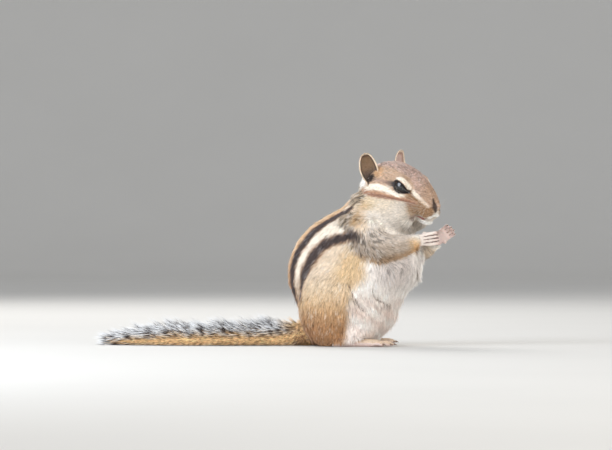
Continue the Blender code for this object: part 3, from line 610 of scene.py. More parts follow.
class Look:
    """A material with one Principled shader, whose unchanging values are set on its own sockets."""

    def __init__(self, name, **fixed):
        self.material = bpy.data.materials.new(name)
        self.material.use_nodes = True
        self.tree = self.material.node_tree
        self.shader = self.tree.nodes["Principled BSDF"]
        for key, value in fixed.items():
            self.shader.inputs[key.replace("_", " ").title().replace("Ior", "IOR")].default_value = value

    def node(self, kind, values, output=0, **settings):
        made = self.tree.nodes.new("ShaderNode" + kind)
        for key, value in settings.items():
            setattr(made, key, value)
        for key, value in values.items():
            self.feed(made.inputs[key], value)
        return Number(self, made.outputs[output])

    def feed(self, socket, value):
        if isinstance(value, Number):
            self.tree.links.new(value.socket, socket)
        else:
            socket.default_value = value

    def sum(self, operation, first, second):
        return self.node("Math", {0: first, 1: second}, operation=operation)

    def noise(self, scale, detail=2.0):
        place = self.node("TexCoord", {}, output=3)
        return self.node("TexNoise", {"Vector": place, "Scale": scale, "Detail": detail})

    def mix(self, share, first, second):
        colours = {0: share, 6: first, 7: second}
        return self.node("Mix", colours, output=2, data_type="RGBA")

    def tinted(self):
        return self.node("Attribute", {}, attribute_name="tint")

    def give(self, socket, value):
        self.feed(self.shader.inputs[socket], value)

    def bump(self, height, distance):
        self.give("Normal", self.node("Bump", {"Height": height, "Distance": distance}))


def rgba(colour):
    return (*(float(c) for c in linear(np.array(colour))), 1.0)


def hair_look(name, roughness):
    look = Look(name, roughness=roughness, specular_ior_level=0.12, sheen_weight=0.1, sheen_roughness=0.6)
    streaks = look.noise(900.0)
    shade = {0: look.tinted(), "Scale": streaks * 0.4 + 0.8}
    look.give("Base Color", look.node("VectorMath", shade, operation="SCALE"))
    look.give("Roughness", streaks * 0.2 + (roughness - 0.1))
    return look.material


def skin_look(name, roughness, scale=1400.0, depth=0.00012, redness=0.12):
    look = Look(name, roughness=roughness, subsurface_weight=0.06, subsurface_scale=0.002)
    grain = look.noise(scale, detail=4.0)
    look.give("Base Color", look.mix(grain * redness, look.tinted(), rgba(PINK)))
    look.give("Roughness", grain * 0.25 + (roughness - 0.12))
    look.bump(grain, depth)
    return look.material


def plain_look(name, colour, other, roughness, scale=600.0, depth=0.00005, **fixed):
    """One colour that drifts into another, with a fine grain."""
    look = Look(name, roughness=roughness, **fixed)
    grain = look.noise(scale, detail=3.0)
    look.give("Base Color", look.mix(grain, rgba(colour), rgba(other)))
    look.give("Roughness", grain * 0.1 + (roughness - 0.05))
    if depth:
        look.bump(grain, depth)
    return look.material


FUR = hair_look("short_coat", 0.75)
TAIL_HAIR = hair_look("tail_hair", 0.7)
SKIN = skin_look("skin", 0.8, 1800.0, 0.00015, 0.05)
PAW_SKIN = skin_look("paw_skin", 0.5, 2200.0, 0.0001, 0.35)
EAR_SKIN = skin_look("ear_skin", 0.6)
EYE = plain_look("eye", (0.05, 0.04, 0.05), (0.02, 0.02, 0.025), 0.12, 200.0, 0, specular_ior_level=0.75)
LID_SKIN = plain_look("lid_skin", (0.08, 0.06, 0.06), (0.13, 0.10, 0.09), 0.55, specular_ior_level=0.2)
NOSE_SKIN = skin_look("nose_skin", 0.5, 2500.0, 0.0001, 0.1)
LIP_SKIN = plain_look("lip_skin", (0.62, 0.34, 0.28), (0.46, 0.28, 0.23), 0.42)
CLAW = plain_look("claw", (0.60, 0.50, 0.43), (0.42, 0.33, 0.28), 0.3, 300.0)
WHISKER = plain_look("whisker", (0.86, 0.84, 0.80), (0.68, 0.64, 0.60), 0.35)


# Skin

def tail_bone(count):
    """Rows of the tail's bone from root to tip: centre and radius of its flesh."""
    return spread([(*p, r) for p, r in zip(TAIL_PATH, TAIL_FLESH)], count)


def tail_flesh():
    rows = tail_bone(60)
    made = tube("tail_flesh", rows[None, :, :3], rows[None, :, 3], 16, SKIN)
    made.data.transform(FROM_METRES)
    return made


def on_both_sides(one_sided):
    """Combs of the left side on both sides; those in the middle only once."""
    for comb in one_sided:
        for side in (-1, 1) if comb.place[1] else (1,):
            flip = np.array((1, side, 1))
            yield comb._replace(place=comb.place * flip, points=comb.points * flip)


def combs():
    """Every comb in the animal's frame: their places, ways, lengths, leans and reaches."""
    found = [*on_both_sides(BODY_COMBS), *ARM_COMBS["right"], *ARM_COMBS["left"]]
    for comb in on_both_sides(HEAD_COMBS):
        place = HEAD_TURNED @ comb.place + HEAD_MIDDLE
        found.append(comb._replace(place=place, points=HEAD_TURNED @ comb.points))
    places, ways, lengths, leans, reaches = (np.array(column, float) for column in zip(*found))
    return places, unit(ways), lengths, np.radians(leans), reaches


COMBS = combs()


def combed(points, normals):
    """The way the coat lies at each point, its length and its lean."""
    places, ways, lengths, leans, reaches = COMBS
    far = np.linalg.norm(points[:, None] - places, axis=2) / reaches
    weights = np.exp(-(far**2)) + 1e-12
    weights /= weights.sum(1, keepdims=True)
    way = weights @ ways
    way = unit(way - normals * (way * normals).sum(1, keepdims=True))
    return way, weights @ lengths, weights @ leans


def lid_reach(turn):
    """How far the opening between the lids is drawn out towards its front corner."""
    from_corner = np.hypot(np.degrees(turn), LID_CORNER_ROUND)
    return 1 / np.cos(np.radians(np.maximum(LID_CORNER - from_corner, 0)))


def in_lids(points):
    """How far out of the opening between the lids each point of the head's frame is: under 1 is inside."""
    off = points - EYE_PLACE - LID_MIDDLE
    along = off[:, 0] * math.cos(LID_SLANT) + off[:, 2] * math.sin(LID_SLANT)
    up = -off[:, 0] * math.sin(LID_SLANT) + off[:, 2] * math.cos(LID_SLANT)
    along, up = along / LID_OPENING[0], up / LID_OPENING[1]
    found = np.hypot(along, up) / lid_reach(np.arctan2(up, along))
    return np.where(off[:, 1] < 0, 9.0, found)


def pressed_line(points, path, width, depth):
    """How deep a fold along a path presses in at each point."""
    return depth * (1 - ramp(from_line(points, path)[0], 0, width))


def even_out(mesh, where, times):
    """Smooths the places that a mask names, each time by the mean of every point's neighbours."""
    points = points_of(mesh)
    pairs = edges_of(mesh)
    pairs = pairs[(where[pairs] > 0).any(1)]
    first, second = pairs.T
    count = np.maximum(np.bincount(pairs.ravel(), minlength=len(points)), 1)
    for _ in range(times):
        total = np.zeros_like(points)
        for k in range(3):
            total[:, k] += np.bincount(first, points[second, k], len(points))
            total[:, k] += np.bincount(second, points[first, k], len(points))
        points += 0.5 * where[:, None] * (total / count[:, None] - points)
    move_points(mesh, points)


def make_skin():
    """One skin over head, neck, trunk, limbs and tail, inside the solids by the depth of the coat."""
    parts = [copy_of_solid(node) for node in (*FLESH, "eye_right", "eye_left")]
    for part in parts:
        apply(part, "DISPLACE", strength=SWELL, mid_level=0)
    skin = joined("skin", [*parts, tail_flesh()])
    apply(skin, "REMESH", mode="VOXEL", voxel_size=SKIN_VOXEL)
    apply(skin, "SMOOTH", factor=0.5, iterations=4)
    mesh = skin.data
    even_out(mesh, near(points_of(mesh), CHEST, CHEST_RADIUS, 3), CHEST_PASSES)
    points, normals = points_of(mesh), normals_of(mesh)
    _, length, lean = combed(points, normals)
    depth = SWELL + COAT_DEPTH * length * np.sin(lean)
    depth *= 1 - ramp(-points[:, 0], 26, 34)
    depth += pressed_line(in_head(points), MOUTH, MOUTH_WIDTH, FOLD_DEPTH)
    for fold in FOLDS:
        depth += pressed_line(points, fold, FOLD_WIDTH, FOLD_DEPTH)
    points = points - normals * depth[:, None]
    press_round_eyes(points)
    points[:, 2] = np.maximum(points[:, 2], UNDERSIDE)
    move_points(mesh, points)
    return skin


def press_round_eyes(points):
    """Lays the skin on the eyeball round the lids, and draws it in behind its surface between them."""
    folded = in_head(points)
    off = folded - EYE_PLACE
    out_of_lids = in_lids(folded)
    most = EYE_RADIUS - 0.1 + LID_RISE * (out_of_lids - 1)
    most = np.where(out_of_lids < 1.04, EYE_RADIUS - BEHIND_LIDS, most)
    away = np.linalg.norm(off, axis=1)
    sunk = EYE_PLACE + unit(off) * np.minimum(away, most)[:, None]
    sunk[:, 1] *= np.sign(to_head(points)[:, 1])
    by_eye = (out_of_lids < 1.9) & (away < 8)
    points[by_eye] = from_head(sunk[by_eye])


# Markings

class Paint:
    """Colours laid over one another on points, with the share of dark and pale hairs among them."""

    def __init__(self, count, colour):
        self.colour = np.tile(np.array(colour, float), (count, 1))
        self.flecks = np.full(count, 0.06)

    def lay(self, mask, colour, flecks=None):
        mask = np.clip(mask, 0, 1)
        self.colour += mask[:, None] * (np.array(colour) - self.colour)
        if flecks is not None:
            self.flecks += mask * (flecks - self.flecks)

    def cover(self, mask, other):
        """Lays other colours over these."""
        self.colour += mask[:, None] * (other.colour - self.colour)
        self.flecks += mask * (other.flecks - self.flecks)


def along_trunk(points):
    """For each point its slice of the trunk, and its angle from the middle of the back without and with
    its side, in degrees."""
    rows = spread(TRUNK, (len(TRUNK) - 1) * SLICE_STEPS + 1)
    turn = -np.radians(rows[:, 5])
    half = np.stack([rows[:, 2] - rows[:, 0], 0 * turn, rows[:, 3] - rows[:, 1]], 1) / 2
    centre = np.stack([rows[:, 0] + rows[:, 2], 0 * turn, rows[:, 1] + rows[:, 3]], 1) / 2
    forward = np.stack([half[:, 0] * np.cos(turn), half[:, 0] * np.sin(turn), half[:, 2]], 1)
    side = np.stack([-np.sin(turn), np.cos(turn), 0 * turn], 1)
    normal = unit(np.cross(forward, side))
    off = np.abs(points @ normal.T - (centre * normal).sum(1))
    best = off.argmin(1)
    gap = points - centre[best]
    x = (gap * forward[best]).sum(1) / (forward[best] ** 2).sum(1)
    y = (gap * side[best]).sum(1) / rows[best, 4]
    return best / SLICE_STEPS, np.degrees(np.arctan2(np.abs(y), -x)), np.degrees(np.arctan2(y, -x))


def stripe(unrolled, rows, soft, wider=0.0):
    """A mask of one stripe of the back on the trunk laid flat."""
    path = [(slice_at * SLICE_RUN, angle * DEGREE_RUN, 0, width + wider) for slice_at, angle, width in rows]
    return on_line(unrolled, path, soft)


def wobble(points, run):
    """A gentle wander between -1 and 1 that keeps the edges of markings from being ruled lines."""
    x, y, z = points.T * (2 * math.pi / run)
    return (np.sin(x + 1.7 * z) + np.sin(1.3 * y - 0.8 * z + 1) + np.sin(2.3 * z + 1.1 * x + 2)) / 3


def flat_trunk(slice_at, angle):
    """Points of the trunk laid flat, in millimetres."""
    return np.stack([slice_at * SLICE_RUN, angle * DEGREE_RUN, 0 * angle], 1)


def mark_trunk(points, paint):
    """The stripes of the back, the flanks, the haunches and the belly, with painted shade on the chest and
    in the folds.
    """
    slice_at, angle, _ = along_trunk(points)
    height = points[:, 2]
    angle = angle + 1.6 * wobble(points, 5.0)
    unrolled = flat_trunk(slice_at, angle)

    def at_slice(rows):
        return np.interp(slice_at, *zip(*rows))

    paint.lay(1 - ramp(height, 18, 40), FLANK_GOLD, 0.10)
    paint.lay(between(angle, 82, 104, 8) * between(slice_at, 4.2, 6.4, 0.6), FLANK_GOLD, 0.08)
    paint.lay(1 - ramp(height, 9, 31), HAUNCH, 0.14)
    paint.lay((1 - ramp(height, 3, 24)) * (1 - ramp(angle, 40, 80)), RUSSET, 0.15)
    back = 1 - ramp(angle, 24, 46)
    paint.lay(back * ramp(height, 8, 18), BACK_LOW, 0.12)
    paint.lay(back * ramp(slice_at, 3.0, 6.0), BACK_TAN, 0.12)
    pale_from, pale_to = at_slice(PALE_FROM), at_slice(PALE_TO)
    pale = between(angle, pale_from, pale_to, 3.0)
    pale = pale * ramp(slice_at, 1.2, 2.6) * (1 - ramp(slice_at, 8.6, 9.4))
    paint.lay(pale, STRIPE_LOW, 0.05)
    paint.lay(pale * ramp(slice_at, 2.6, 4.6), CREAM, 0.06)
    paint.lay(stripe(unrolled, UPPER_DARK, 0.8, 1.3) * 0.8, DARK_EDGE, 0.1)
    paint.lay(stripe(unrolled, LOWER_DARK, 0.9, 1.8) * 0.8, DARK_EDGE, 0.1)
    paint.lay(stripe(unrolled, UPPER_DARK, 0.8), DARK, 0.16)
    paint.lay(stripe(unrolled, LOWER_DARK, 0.9, 0.3), DARK, 0.18)
    paint.lay((1 - ramp(angle, 3, 7)) * ramp(slice_at, 1.5, 2.5), DARK, 0.05)
    belly = ramp(angle, at_slice(BELLY_FROM) - 5, at_slice(BELLY_FROM) + 5)
    paint.lay(belly, BELLY, 0.05)
    paint.lay(belly * ramp(height, 46, 56), THROAT, 0.05)
    paint.lay(belly * between(height, 4, 26, 5) * (0.5 + 0.5 * wobble(points, 17.0)), BELLY_PINK)
    unrolled = unrolled - np.array((7.7 * SLICE_RUN, 90 * DEGREE_RUN, 0))
    paint.lay(near(unrolled, (-6, 4, 0), 6.0, 3.0), SHOULDER, 0.5)
    paint.lay(near(unrolled, (6, -8, 0), 5.0, 3.0), NAPE, 0.5)
    # painted shade: the chest is darkened towards grey where it lies in shade
    paint.lay(belly * near(points[:, ::2], (24, 41), 8.5, 6.0) * 0.8, CHEST_PAINTED_SHADE, 0.16)
    # painted shade along the folds of the skin, on both sides
    for fold in FOLDS:
        flat = [(x, 0, z, 1.0) for x, _, z in fold]
        paint.lay(on_line(points * (1, 0, 1), flat, 0.5) * ramp(np.abs(points[:, 1]), 8, 12) * 0.8, FOLD_SHADE)


def along_limb(points, rows):
    """For each point its share of the way down a limb, and how far it is from the bone, in radii."""
    rows = spread(rows, LIMB_STEPS + 1)
    away = np.stack([np.linalg.norm(points - row[:3], axis=1) for row in rows], 1)
    best = away.argmin(1)
    radius = rows[best, 3]
    return best / LIMB_STEPS, away.min(1) / radius, (points - rows[best, :3]) / radius[:, None]


def mark_arms(points, paint):
    """The sleeves, paler inside, with a painted highlight along their tops and painted shade beneath, and
    the dark spot and the tan behind each shoulder.
    """
    for side in ("right", "left"):
        share, reach, off = along_limb(points, ARMS[side])
        high, inner = off[:, 2], off[:, 1] * (1 if side == "right" else -1)
        here = Paint(len(points), SLEEVE)
        # painted highlight along the top of each arm, and painted shade under it
        here.lay(ramp(high, 0.0, 0.6), SLEEVE_HIGHLIGHT)
        here.lay(1 - ramp(high, -0.9, -0.35), SLEEVE_UNDER_SHADE)
        here.lay(ramp(inner, 0.15, 0.65), ARM_INSIDE)
        here.flecks = 0.12 + 0.14 * (1 - ramp(share, 0.3, 0.75))
        here.lay(ramp(share, 0.80, 0.95) * (1 - ramp(high, 0.2, 0.8)), WRIST, 0.1)
        paint.cover((1 - ramp(reach, 1.02, 1.25)) * ramp(share, 0.05, 0.3), here)
    slice_at, angle, _ = along_trunk(points)
    spot = flat_trunk(slice_at - 7.6, angle - 89)
    paint.lay(near(spot, (0, -1.4, 0), 2.8, 2.2) * 0.85, DARK, 0.2)
    paint.lay(near(spot, (9, -1.5, 0), 3.6, 2.0), CHEEK_BACK, 0.25)


def height_of(path, ahead):
    """How high a line of the face runs at each place ahead."""
    rows = np.array(path)
    return np.interp(ahead, rows[:, 0], rows[:, 2])


def mark_head(points, paint):
    """The stripes of the face, the crown, the muzzle, the cheeks and the mouth, with painted shade in the
    nostrils, along the mouth's fold and in the hollow at the foot of each ear.
    """
    q = in_head(points)
    q = q + 0.25 * wobble(points, 3.0)[:, None]
    ahead, aside, up = q.T
    brow = np.where(ahead < BROW_LINE[0][0], 4.0, height_of(BROW_LINE, ahead))
    lower = height_of(LOWER_STRIPE, ahead)
    core = [(x, y, z - 0.35, width - 0.9) for x, y, z, width in LOWER_STRIPE]
    whole = ramp((points - np.array((19.2, 0, 63.8))) @ np.array((0.56, 0, 0.83)), -4, 3)
    here = Paint(len(points), CHEEK)
    here.lay(near(q, (-3, 14, -8.0), 5.5, 4.0) * 0.35, CHEEK_GOLD)
    here.lay(near(q, (-12.5, 15, -11), 5.5, 4.0) * 0.8, CHEEK_GOLD)
    here.lay(ramp(-up, 13, 20), JOWL, 0.10)
    here.lay(near(q, (-15, 16, -15), 4.5, 3), CHEEK_BACK, 0.15)
    here.lay(ramp(up, lower - 0.5, lower + 1.0), CROWN_SIDE, 0.2)
    here.lay(ramp(up, lower - 0.5, lower + 1.0) * ramp(ahead, 3, 8), MUZZLE, 0.2)
    here.lay(near(q, (11.5, 6.6, -9.0), 4.4, 1.8), MUZZLE, 0.25)
    here.lay(near(q, (16.0, 4.8, -10.0), 3.9, 0.9), MUZZLE, 0.25)
    here.lay(near(q, (8.5, 8.0, -7.4), 1.8, 1.2) * 0.6, CHEEK_STRIPE, 0.2)
    here.lay(ramp(up, brow - 0.6, brow + 0.6), CROWN, 0.42)
    here.lay(ramp(up, brow - 0.6, brow + 0.6) * between(aside, 6.5, 14, 1.2), CROWN_SIDE, 0.2)
    here.lay(ramp(up, brow - 0.3, brow + 0.6) * ramp(ahead, 8, 15), BRIDGE, 0.3)
    here.lay(near(q, (-20, 12.5, -9), 5.5, 3), NAPE, 0.35)
    here.lay(near(q, (-24, 5, -2), 7, 4), NAPE, 0.35)
    here.lay(near(q, (-11.6, 9.0, 5.0), 3.2, 1.4), EAR_TUFT, 0.1)
    here.lay(on_line(q, EYE_STRIPE, 0.7), EYE_STREAK, 0.1)
    here.lay(on_line(q, EYE_STRIPE[2:], 0.6) * ramp(ahead, -5.6, -3.0), EYE_RING, 0.0)
    here.lay(on_line(q, LOWER_STRIPE, 0.8), CHEEK_STRIPE_EDGE, 0.1)
    here.lay(on_line(q, core, 0.5), CHEEK_STRIPE, 0.12)
    here.lay(on_line(q, CHEEK_LINE, 0.45), CREAM, 0.0)
    here.lay(near(q, (-20.8, 11.0, 1.0), 4.9, 1.2), WHITE, 0.0)
    # painted shade in the hollow at the foot of the ear
    here.lay(near(q, (-14.4, 11.0, 2.0), 2.0, 0.8), EAR_DEEP_SHADE, 0.0)
    here.lay(on_line(q, BROW_LINE, 0.5) * (1 - 0.4 * ramp(ahead, 8, 15)), CREAM, 0.0)
    here.lay(on_line(q, EYE_CORNER, 0.6) * 0.75, EYE_FRONT, 0.1)
    # painted shade in the nostrils and between the nose and the muzzle
    here.lay(on_line(q, NOSTRIL_LINE, 0.4), NOSTRIL_SHADE, 0.0)
    here.lay(on_line(q, UPPER_LIP, 0.5), WHITE, 0.0)
    here.lay(ramp(-up, 14.6, 15.8) * ramp(ahead, 7, 11), WHITE, 0.03)
    # painted shade along the fold of the closed mouth
    here.lay(on_line(q, MOUTH_LINE, 0.5) * 0.85, MOUTH_FOLD_SHADE)
    here.lay(on_line(q, RED_LIP, 0.4) * 0.9, LIP_RED, 0.0)
    here.lay(1 - ramp(in_lids(q), 1.08, 1.2), EYE_RING, 0.0)
    paint.cover(whole, here)


def marked(points):
    """The coat's colour at each point, and the share of dark and pale hairs among its own."""
    paint = Paint(len(points), FLANK)
    mark_trunk(points, paint)
    mark_arms(points, paint)
    by_tail = ramp(-points[:, 0], 24, 32) * (1 - ramp(points[:, 2], 10, 16))
    paint.lay(by_tail, TAIL_CORE, 0.15)
    mark_head(points, paint)
    return paint.colour, paint.flecks


# Coat

TUFT_SHAPE = ((0.0, 0.8), (0.42, 1.0), (1.0, 0.0))  # share of the length, and of the width
TUFT_HEIGHT = 0.35  # of its width
ROUNDING = 0.5  # how far the sides of a tuft catch the light from the side
LOWEST_FACING = -0.35  # how far down the top of a tuft may face, so that the light still reaches it
HAIR_SHAPE = ((0.0, 0.7), (0.34, 1.0), (0.52, 0.95), (0.62, 0.9), (0.82, 0.6), (1.0, 0.0))


class Roots(NamedTuple):
    """Where hairs grow: their places, the skin's normals and the ways that they lie."""

    places: np.ndarray
    normals: np.ndarray
    ways: np.ndarray


def grow(name, roots, lengths, widths, leans, pull, colours, unrolled, shape, look, floor=0.12):
    """One piece of three-sided tapered tufts; colours has a row of tufts for each ring of the shape."""
    count = len(roots.places)
    side = unit(np.cross(roots.normals, roots.ways))
    centre = roots.places - roots.normals * (0.05 + 0.06 * lengths)[:, None]
    before = 0.0
    rings, tints, facings = [], [], []
    upper = roots.normals.copy()
    upper[:, 2] = np.maximum(upper[:, 2], LOWEST_FACING)
    upper = unit(upper)
    for k, (share, size) in enumerate(shape):
        angle = leans * (1.4 - 0.8 * share)
        heading = roots.ways * np.cos(angle)[:, None] + roots.normals * np.sin(angle)[:, None]
        centre = centre + heading * (lengths * (share - before))[:, None]
        before = share
        bent = centre + pull * share**2
        half = side * (widths / 2 * size)[:, None]
        ridge = roots.normals * (widths * TUFT_HEIGHT * size)[:, None]
        ring = [bent] if size == 0 else [bent - half, bent + half, bent + ridge]
        rings += ring
        tints += [colours[k]] * len(ring)
        round_off = (0,) if size == 0 else (-ROUNDING, ROUNDING, 0)
        facings += [upper + side * turn for turn in round_off]
    points = np.stack(rings, 1)
    points[:, :, 2] = np.maximum(points[:, :, 2], floor)
    each = points.shape[1]
    quads, triangles = faces_of_tuft(len(shape))
    start = (np.arange(count) * each)[:, None, None]
    made = piece_from(
        name,
        points.reshape(-1, 3),
        (quads + start).reshape(-1, 4),
        (triangles + start).reshape(-1, 3),
        look,
    )
    tint(made.data, np.stack(tints, 1).reshape(-1, 3))
    lay_out(made.data, unrolled, shape)
    soften(made.data, np.stack(facings, 1), roots.normals, len(quads), len(triangles))
    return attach(made, "root")


def soften(mesh, facings, normals, quads, triangles):
    """Lets the top of each tuft shade as the coat it lies in does, and its underside the other way."""
    count, each, _ = facings.shape
    corners = read(mesh.loops, "vertex_index", 1).ravel()
    shading = unit(facings).reshape(-1, 3)[corners]
    below_quads = np.repeat(np.arange(quads) % 3 == 0, 4)
    below_triangles = np.repeat(np.arange(triangles) < 2, 3)
    below = np.concatenate([np.tile(below_quads, count), np.tile(below_triangles, count)])
    shading[below] = -normals[corners[below] // each]
    mesh.normals_split_custom_set(shading)


def fine_hair(name, places, ups, along, lengths, width, lean, rings):
    """Very short hair that all lies one way."""
    count = len(places)
    roots = Roots(places, ups, unit(along - ups * (ups @ along)[:, None]))
    widths, leans = np.full(count, width), np.full(count, math.radians(lean))
    pull = np.zeros((count, 3))
    mapped = unrolled_limb(places)
    return grow(name, roots, lengths, widths, leans, pull, rings, mapped, TUFT_SHAPE, FUR)


def faces_of_tuft(rings):
    """The faces of one tuft: three sides along each length, a point and a closed root."""
    quads, triangles = [], [(0, 2, 1)]
    for k in range(rings - 1):
        a, b = 3 * k, 3 * k + 3
        for i, j in ((0, 1), (1, 2), (2, 0)):
            if k < rings - 2:
                quads.append((a + i, a + j, b + j, b + i))
            else:
                triangles.append((a + i, a + j, b))
    return np.array(quads), np.array(triangles)


PATCH = 0.003  # how large a tuft is on its map


def lay_out(mesh, unrolled, shape):
    """A map on which each tuft is a small patch at its root's place on the unrolled skin."""
    across = []
    for share, size in shape:
        across += [(0.5, share)] if size == 0 else [(0.0, share), (1.0, share), (0.5, share)]
    spots = unrolled[:, None] * (1 - PATCH) + np.array(across) * PATCH
    corners = read(mesh.loops, "vertex_index", 1).ravel()
    layer = mesh.uv_layers.new(name="OFBake")
    layer.data.foreach_set("uv", spots.reshape(-1, 2)[corners].astype(np.float32).ravel())


def scattered(points, triangles, density):
    """Roots spread over triangles: the corners of each root's triangle, and their weights at the root."""
    a, b, c = (points[triangles[:, k]] for k in range(3))
    area = np.linalg.norm(np.cross(b - a, c - a), axis=1) / 2
    wanted = area * density[triangles].mean(1)
    chosen = draw.choice(len(triangles), int(wanted.sum()), p=wanted / wanted.sum())
    share = draw.random((2, len(chosen)))
    share[:, share.sum(0) > 1] = 1 - share[:, share.sum(0) > 1]
    weights = np.stack([1 - share.sum(0), *share], 1)
    return triangles[chosen], weights


def at_roots(values, corners, weights):
    """What the values of a mesh's points come to at the roots."""
    return (values[corners] * (weights if values.ndim == 1 else weights[:, :, None])).sum(1)


def shaded(colour, root, tip):
    """The colours of tufts with three rings: darker at the root and paler at the tip."""
    return np.stack([colour * root, colour, colour + tip * (1 - colour)])


def clumps_of(places, spacing):
    """Which clump each root belongs to, and where the middle of that clump is."""
    middles = draw.choice(len(places), max(len(places) // spacing, 1), replace=False)
    tree = KDTree(len(middles))
    for i, k in enumerate(middles):
        tree.insert(places[k], i)
    tree.balance()
    clump = np.array([tree.find(p)[1] for p in places])
    return clump, places[middles[clump]]


def bare(points):
    """Whether a point lies where no coat grows: between the lids and on the nose."""
    folded = in_head(points)
    from_nose = np.linalg.norm((folded - NOSE_PLACE) / NOSE_SIZE, axis=1)
    return (in_lids(folded) < 1.07) | (from_nose < 1.15)


def unrolled_trunk(points):
    slice_at, _, angle = along_trunk(points)
    return np.stack([np.clip(slice_at / (len(TRUNK) - 1), 0, 1), angle / 360 + 0.5], 1)


def unrolled_head(points):
    ahead, aside, up = to_head(points).T
    angle = np.arctan2(aside, up + 5)
    return np.stack([np.clip((ahead + 28) / 50, 0, 1), angle / (2 * math.pi) + 0.5], 1)


def unrolled_limb(points):
    middle = points.mean(0)
    off = points - middle
    along = np.linalg.eigh(off.T @ off)[1][:, 2]
    across = unit(np.cross(along, (0.0, 0.1, 1.0)))
    deep = np.cross(along, across)
    run = off @ along
    angle = np.arctan2(off @ across, off @ deep)
    return np.stack([(run - run.min()) / np.ptp(run), angle / (2 * math.pi) + 0.5], 1)


MOST_TUFTS = 19000  # in one piece
DENSITY = 5.6  # tufts on a square millimetre
FINE_DENSITY = 8.0  # more of them where the coat is shortest
CLUMP = 7  # tufts whose tips are drawn together
CLUMP_PULL = 0.5  # how far they are drawn towards its middle
TUFT_WIDTH = 0.33
FINE_WIDTH = 0.13  # by which they are narrower where the coat is shortest
UNROLLED = {"head": unrolled_head, "torso": unrolled_trunk, "neck": unrolled_trunk}


def make_coat(skin):
    """Short tufts over all the skin but the tail, one or more pieces for each part of the body."""
    mesh = skin.data
    points, normals = points_of(mesh), normals_of(mesh)
    way, length, lean = combed(points, normals)
    owner = owners(points)
    in_tail = (points[:, 0] < -31) | ((points[:, 0] < -26) & (points[:, 2] < 12))
    grows = ~(in_tail | bare(points) | ((points[:, 2] < 0.6) & (normals[:, 2] < -0.8)))
    fine = 1 - ramp(length, 1.0, 3.4)
    corners, weights = scattered(points, triangles_of(mesh), (DENSITY + FINE_DENSITY * fine) * grows)
    values = (points, normals, way, length, lean, fine)
    places, up, flow, long, low, thin = (at_roots(each, corners, weights) for each in values)
    up, flow = unit(up), unit(flow)
    clump, middle = clumps_of(places, CLUMP)
    pull = (middle - places) * CLUMP_PULL
    wander = draw.normal(0, 0.10, len(places))
    flow = unit(flow + np.cross(up, flow) * wander[:, None])
    by_lids = ramp(in_lids(in_head(places)), 1.1, 2.0)
    long = long * draw.uniform(0.8, 1.15, len(places)) * (0.5 + 0.5 * by_lids)
    low = low * draw.uniform(0.75, 1.3, len(places)) * np.where(draw.random(len(places)) < 0.05, 1.9, 1)
    wide = (TUFT_WIDTH - FINE_WIDTH * thin) * draw.uniform(0.8, 1.2, len(places))
    colour, flecks = marked(places)
    tone = draw.normal(0, 0.03, clump.max() + 1)[clump] + draw.normal(0, 0.03, len(places))
    colour = colour * (1 + tone[:, None])
    lot = draw.random(clump.max() + 1)[clump] + draw.normal(0, 0.08, len(places))
    lot = np.where(thin > 0.35, draw.random(len(places)), lot)
    darker = lot < flecks
    colour[darker] *= 1 - 0.42 * np.clip(3 * flecks[darker], 0.1, 1)[:, None]
    paler = lot > 1 - flecks * 0.5
    colour[paler] += 0.35 * (0.95 - colour[paler])
    rings = shaded(colour, 0.85, 0.12)
    of_root = owner[corners[:, 0]]
    for i, node in enumerate(FLESH):
        mine = np.flatnonzero(of_root == i)
        mapped = UNROLLED.get(node, unrolled_limb)(places[mine])
        order = np.argsort(places[mine, 0] * 0.6 - places[mine, 2], kind="stable")
        parts = math.ceil(len(mine) / MOST_TUFTS)
        for k, share in enumerate(np.array_split(order, parts)):
            some = mine[share]
            roots = Roots(places[some], up[some], flow[some])
            name = f"coat_{node}" + (f"_{k + 1}" if parts > 1 else "")
            made = grow(
                name, roots, long[some], wide[some], low[some], pull[some], rings[:, some], mapped[share],
                TUFT_SHAPE, FUR,
            )
            slot_of(node)


def owners(points):
    """The flesh node whose solid each point lies nearest to."""
    corners, faces, whose = [], [], []
    for i, node in enumerate(FLESH):
        mesh = frame["nodes"][node].data
        first = len(corners)
        corners += [FROM_METRES @ v.co for v in mesh.vertices]
        faces += [[first + k for k in polygon.vertices] for polygon in mesh.polygons]
        whose += [i] * len(mesh.polygons)
    tree = BVHTree.FromPolygons(corners, faces)
    return np.array([whose[tree.find_nearest(p)[2]] for p in points])


def slot_of(node):
    for row in frame["record"]["subparts"]:
        if row["node"] == node:
            return row["material_slot"]
    raise KeyError(node)


# Tail

HAIRS = 11500
LOCKS = 520
HAIR_LENGTH = 14.6
HAIR_LEAN = math.radians(46)
HAIR_WIDTH = 0.36
NEAR_SIDE = 190  # degrees round the bone to the middle of the side with short plain hairs
BY_RUMP = (0.12, 0.30)  # shares of the tail between which the hairs by the rump give way to the long ones
TAIL_PARTS = (0, 0.41, 0.70, 1.01)  # where its three lengths begin and end


